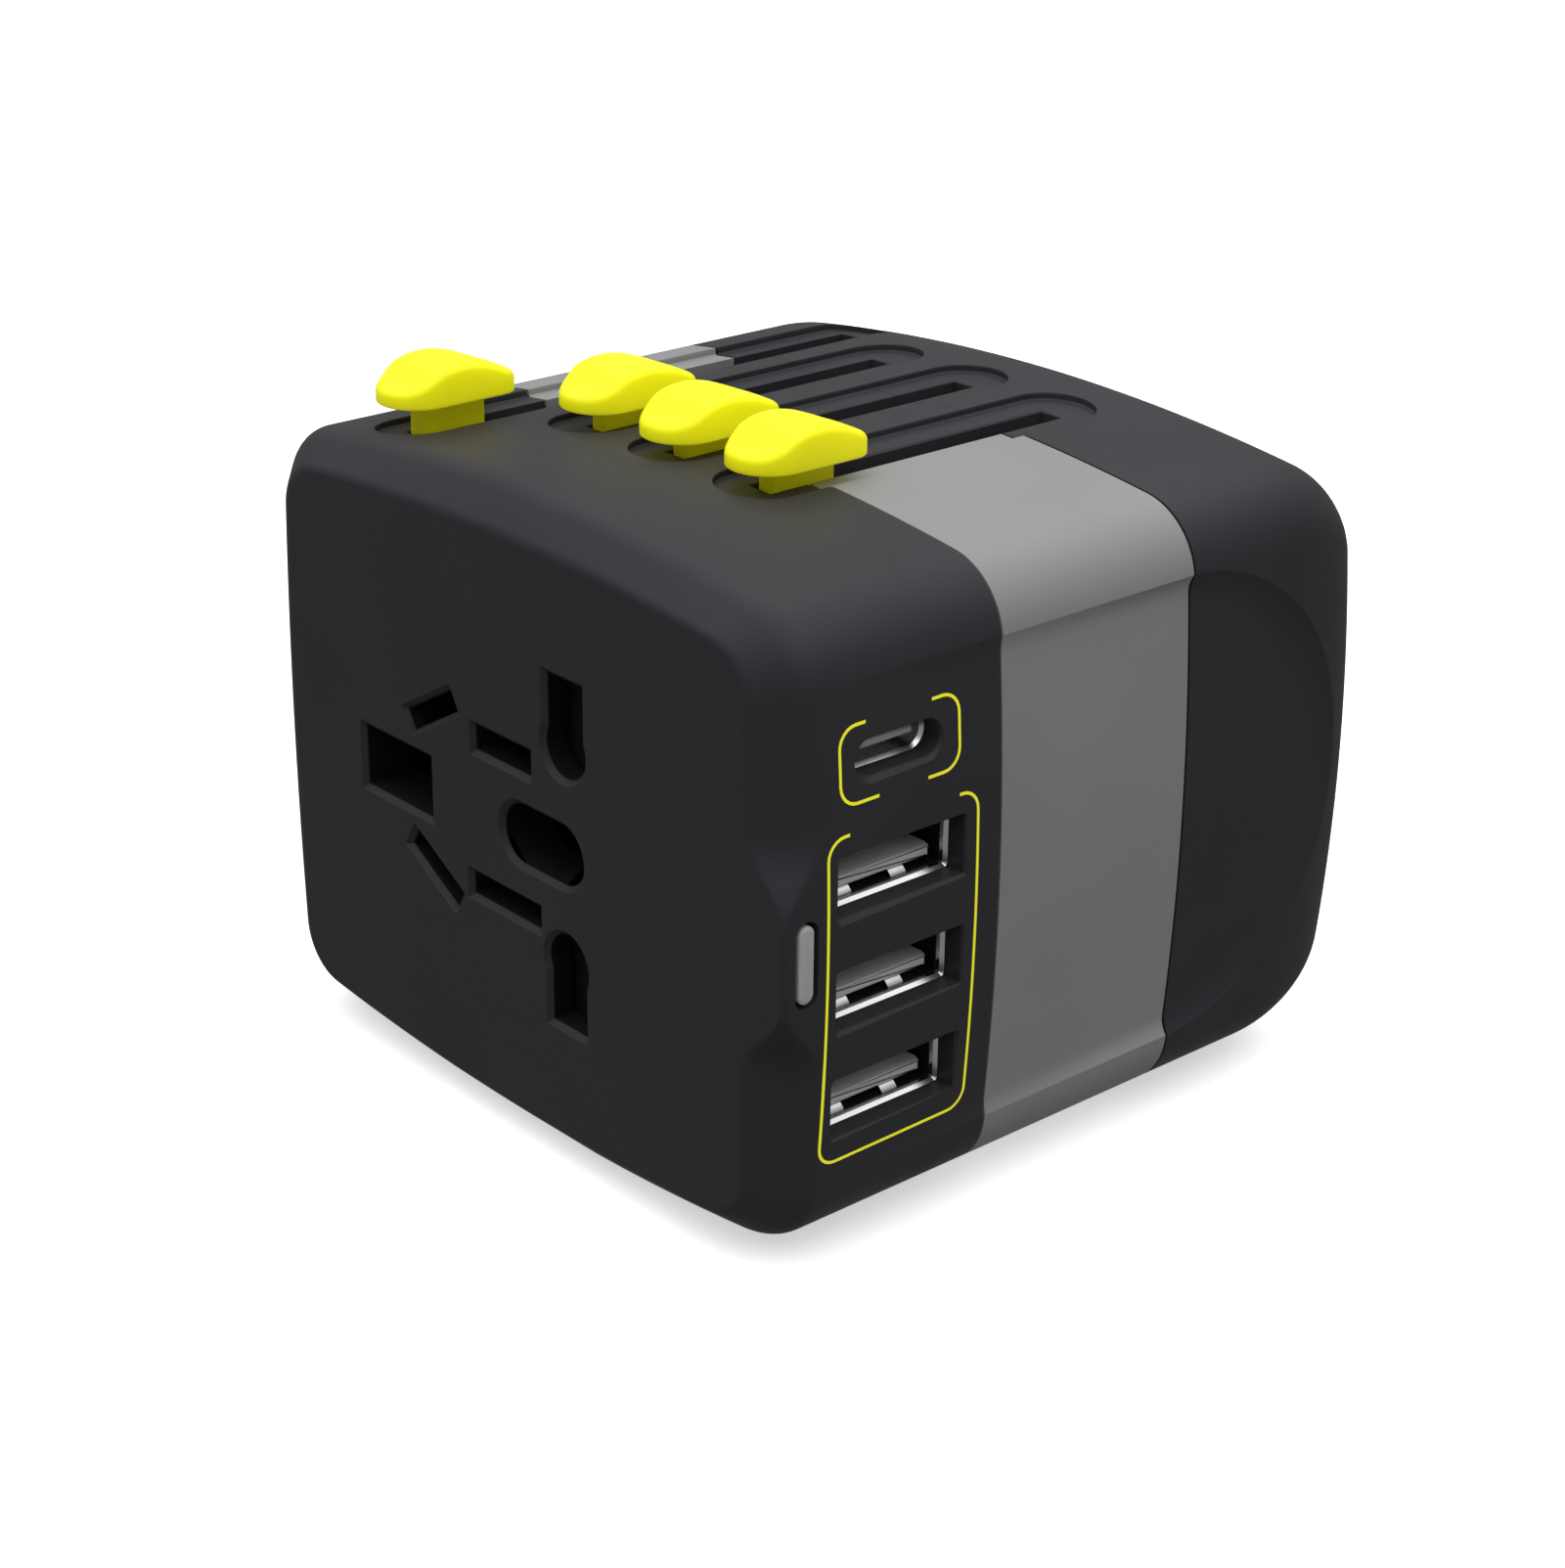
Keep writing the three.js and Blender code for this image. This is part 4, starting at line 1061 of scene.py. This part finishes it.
def build_usb_a_sleeve(i, z, rim_x):
    """The steel sleeve with its sprung tabs, and a thin black sheet inside it that paints the shade in the
    port.
    """
    y, half_y, half_z = USB_A["y"], 6.27, 2.46
    outer = rounded(y - half_y, y + half_y, z - half_z, z + half_z, 0.42, 5)
    shell = port_shell(outer, rim_x)
    floor, ceiling = z - half_z + SHEET, z + half_z - SHEET
    for offset in LEAF["offsets"]:
        unite(shell, spring_leaf(y + offset, floor - 0.1, rim_x))
        unite(shell, spring_leaf(y + offset, ceiling + 0.1, rim_x, -1))
    finish_piece(shell, f"usb_a_sleeve_{i}", "housing", PORT_STEEL, [f"usb_a_shell_{i}"])
    # Painted shade: a thin near-black sheet over the inside of the sleeve.
    shade_sheet = along_x(outer, [(PORT_BACK + SHEET + 0.02, -SHEET - 0.01), (rim_x - 0.7, -SHEET - 0.01)])
    cut(shade_sheet, along_x(outer, [(PORT_BACK + 2 * SHEET, -SHEET - 0.07), (rim_x, -SHEET - 0.07)]))
    finish_piece(shade_sheet, f"usb_a_shade_sheet_{i}", "housing", INNER)


def build_usb_a_tongue(i, z, tip):
    """The plastic tongue, with four contact strips on its upper face."""
    y, low, high = USB_A["y"], z - 1.8, z - 0.72
    plan = rounded(y - 5.5, y + 5.5, low, high, 0.12, 3)
    tongue = along_x(plan, [(PORT_BACK + 2 * SHEET, 0), (tip - 0.5, 0), (tip - 0.1, -0.12), (tip, -0.25)])
    finish_piece(tongue, f"usb_a_tongue_block_{i}", "housing", TONGUE,
                 [f"usb_a_tongue_{i}"])
    for k, offset in enumerate((-3.5, -1.0, 1.0, 3.5), 1):
        middle = y + offset
        strip = box(tip - 7.5, tip - 2.4, middle - 0.5, middle + 0.5, high - 0.1, high + 0.05)
        finish_piece(strip, f"usb_a_contact_{i}_{k}", "housing", BRASS)


def build_usb_a():
    for i, z in enumerate(USB_A["centres"], 1):
        rim_x = side_x(z) - RIM_DEPTH - 0.04
        build_usb_a_sleeve(i, z, rim_x)
        build_usb_a_tongue(i, z, rim_x - 1.2)


def build_usb_c():
    c = USB_C
    rim_x = side_x(c["z"]) - RIM_DEPTH - 0.04
    shell = port_shell(stadium(c["y"], c["z"], 8.4, 3.0), rim_x)
    finish_piece(shell, "usb_c_sleeve", "housing", PORT_STEEL, ["usb_c_shell"])
    tongue_x = rim_x - 0.35
    plan = rounded(c["y"] - 3.35, c["y"] + 3.35, c["z"] - 0.36, c["z"] + 0.36, 0.1, 3)
    tongue = along_x(plan, [(PORT_BACK + SHEET, 0), (tongue_x - 0.2, 0), (tongue_x, -0.15)])
    step = rounded(c["y"] - 3.5, c["y"] + 3.5, c["z"] - 0.62, c["z"] + 0.62, 0.15, 3)
    unite(tongue, along_x(step, [(PORT_BACK + SHEET, 0), (tongue_x - 3.0, 0), (tongue_x - 2.8, -0.2)]))
    finish_piece(tongue, "usb_c_tongue_block", "housing", TONGUE, ["usb_c_tongue"])
    for k in range(12):
        y = c["y"] + (k - 5.5) * 0.5
        strip = box(tongue_x - 2.7, tongue_x - 0.5, y - 0.12, y + 0.12, c["z"] + 0.3, c["z"] + 0.38)
        finish_piece(strip, f"usb_c_contact_{k + 1}", "housing", BRASS)


# ----- status light and printed frames -----
def build_light():
    x = side_x(LIGHT["z"]) - recess_depth(LIGHT["y"])
    levels = [(20.6, -0.05), (x - 0.3, -0.05), (x - 0.12, -0.08), (x - 0.03, -0.2), (x, -0.42)]
    lens = along_x(light_outline(), levels)
    finish_piece(lens, "status_light_lens", "housing", LAMP, ["status_light"], 35)


def printed_line(name, path):
    """A printed line that follows the side's surface."""
    half, under, over = PRINT["width"] / 2, -PRINT["sunk"], PRINT["proud"]
    rings = []
    for i, (y, z) in enumerate(path):
        before, after = path[max(i - 1, 0)], path[min(i + 1, len(path) - 1)]
        along = Vector((after[0] - before[0], after[1] - before[1])).normalized()
        ny, nz = -along.y * half, along.x * half
        ring = []
        for lift, side in ((under, -1), (under, 1), (over, 1), (over, -1)):
            py, pz = y + side * ny, z + side * nz
            ring.append((side_surface(py, pz) + lift, py, pz))
        rings.append(ring)
    finish_piece(loft(rings), name, "housing", PRINTED, (), 50)


def dense(points, step=0.8):
    """The same path with points no further apart than the step."""
    result = [points[0]]
    for p, q in zip(points, points[1:]):
        count = max(1, math.ceil(math.dist(p, q) / step))
        result += [(mix(p[0], q[0], t), mix(p[1], q[1], t)) for t in spread(0, 1, count)[1:]]
    return result


def frame_corners(frame):
    """Corner arcs of a printed frame, anticlockwise from the one at its low y and low z."""
    ring = rounded(frame["y0"], frame["y1"], frame["z0"], frame["z1"], PRINT["corner"])
    size = len(ring) // 4
    return [ring[k * size:(k + 1) * size] for k in range(4)]


def build_frames():
    """Thin printed frames round the two groups of ports, left open where captions would stand."""
    (top0, top1), (bottom0, bottom1) = FRAME_C["top_gap"], FRAME_C["bottom_gap"]
    z0, z1 = FRAME_C["z0"], FRAME_C["z1"]
    low_left, low_right, high_right, high_left = frame_corners(FRAME_C)
    left = [(top0, z1), *high_left, *low_left, (bottom0, z0)]
    right = [(top1, z1), *high_right[::-1], *low_right[::-1], (bottom1, z0)]
    (first, last), z1 = FRAME_A["top_gap"], FRAME_A["z1"]
    low_left, low_right, high_right, high_left = frame_corners(FRAME_A)
    around = [(first, z1), *high_left, *low_left, *low_right, *high_right, (last, z1)]
    for name, path in (("c_left", left), ("c_right", right), ("a", around)):
        printed_line(f"port_frame_{name}", dense(path))


# ----- fasteners -----
def screw_profile():
    """(y, radius) along a screw: its thread, its plain shaft and its rounded head."""
    front, back, tip = SCREW["front"], SCREW["back"], SCREW["tip"]
    shaft, head = SCREW["shaft"], SCREW["head"]
    profile = [(tip, 0.15), (tip + 1.5, shaft * 0.8)]
    for k in range(THREAD["turns"]):
        y = tip + 1.6 + k * THREAD["pitch"]
        profile += [(y, shaft * THREAD["root"]), (y + THREAD["pitch"] / 2, shaft)]
    profile += [(front - 3, shaft), (front, shaft), (front, head), (back - 0.6, head)]
    dome = [(back - 0.6 + 0.6 * math.sin(t), head - 1.1 + 1.1 * math.cos(t)) for t in spread(0.3, 1.5, 5)]
    return profile + dome


def build_screws():
    for i, (x, z) in enumerate(screw_places(), 1):
        screw = loft([[(a, y, b) for a, b in circle(x, z, r)] for y, r in screw_profile()])
        for turn in (0, math.pi / 2):
            cross = slanted_bar(x, z, 2.6, 0.55, turn + 0.4 * i)
            cut(screw, along_y(cross, [(SCREW["back"] - 1.1, -0.12), (SCREW["back"] + 0.5, 0.05)]))
        finish_piece(screw, f"phillips_screw_{i}", "housing", STEEL, [f"case_screw_{i}"])


# ----- CAD nodes that stay -----
def paint_frame():
    """Finishes for the CAD nodes that keep their own shape."""
    finishes = {
        "carriage": INNER, "shutter_spring": STEEL, "shutter": INNER, "socket_core": INNER,
        "contact_retainer": PALE, "contact": BRASS, "board": BOARD, "transformer": WINDING,
        "capacitor": STEEL, "status_led": PALE, "fuse_clip": BRASS, "fuse": PALE, "bus_bar": BRASS,
    }
    for name, node in frame["nodes"].items():
        if node.hide_render:
            continue
        key = next(word for word in finishes if word in name)
        for slot in node.material_slots:
            slot.material = finishes[key]


# ----- stage -----
FLOOR = {"reach": 8.0, "glow": 0.53}
SKY = [  # (height of the direction, from -1 straight down to 1 straight up, and the brightness there)
    (-1.0, 0.2), (0.0, 0.24), (0.42, 0.32), (0.64, 1.2), (0.8, 1.75), (1.0, 1.85),
]


def build_floor():
    """A white floor that glows a little, and that neither lights the object nor shows in it."""
    reach = FLOOR["reach"]
    corners = [(x, y, 0) for x, y in rectangle(-reach, reach, -reach, reach)]
    floor = make_mesh("floor", corners, [(0, 1, 2, 3)])
    floor.location.z = cad_low.z
    material, tree, shader, place = node_material("white_floor")
    drift = noise(tree, place, 60)
    tree.links.new(tinted(tree, drift, (0.93, 0.93, 0.93), (0.95, 0.95, 0.95)), shader.inputs["Base Color"])
    set_inputs(shader, {"Roughness": 0.9, "Specular IOR Level": 0.0})
    set_inputs(shader, {"Emission Color": (1, 1, 1, 1), "Emission Strength": FLOOR["glow"]})
    floor.data.materials.append(material)
    floor.visible_diffuse = False
    floor.visible_glossy = False


def build_lights():
    """A soft studio sky: a wide bright ceiling over dimmer walls."""
    world = bpy.data.worlds.new("studio")
    bpy.context.scene.world = world
    world.use_nodes = True
    tree = world.node_tree
    place = tree.nodes.new("ShaderNodeTexCoord").outputs["Generated"]
    brightest = SKY[-1][1]
    stops = [((height + 1) / 2, [brightness / brightest] * 3) for height, brightness in SKY]
    sky = color_ramp(tree, height_share(tree, place, -1, 1), stops)
    background = set_inputs(tree.nodes["Background"], {"Strength": brightest})
    tree.links.new(sky, background.inputs["Color"])


# ----- camera -----
CAMERA = {  # fitted to the socket's holes and the ports in the photo
    "azimuth": 48.672, "elevation": 23.242, "roll": 0.615, "lens": 73.62, "place": (185.36, -165.65, 128.66),
}


def build_camera():
    azimuth, elevation, roll = (math.radians(CAMERA[key]) for key in ("azimuth", "elevation", "roll"))
    back = Vector((math.sin(azimuth) * math.cos(elevation), -math.cos(azimuth) * math.cos(elevation),
                   math.sin(elevation)))
    level_right = (-back).cross(Vector((0, 0, 1))).normalized()
    level_up = level_right.cross(-back)
    right = math.cos(roll) * level_right + math.sin(roll) * level_up
    up = math.cos(roll) * level_up - math.sin(roll) * level_right
    data = bpy.data.cameras.new("camera")
    data.lens = CAMERA["lens"]
    data.clip_start, data.clip_end = 0.01, 30
    camera = add_object("camera", data)
    rotation = Matrix((right, up, back)).transposed().to_4x4()
    camera.matrix_world = Matrix.Translation(Vector(CAMERA["place"]) * MM) @ rotation
    bpy.context.scene.camera = camera


# ----- everything -----
build_housing()
build_hole_shade_sheets()
build_sliders()
build_pins()
build_usb_a()
build_usb_c()
build_light()
build_frames()
build_screws()
paint_frame()
build_floor()
build_lights()
build_camera()
bpy.context.scene.view_settings.view_transform = "Standard"
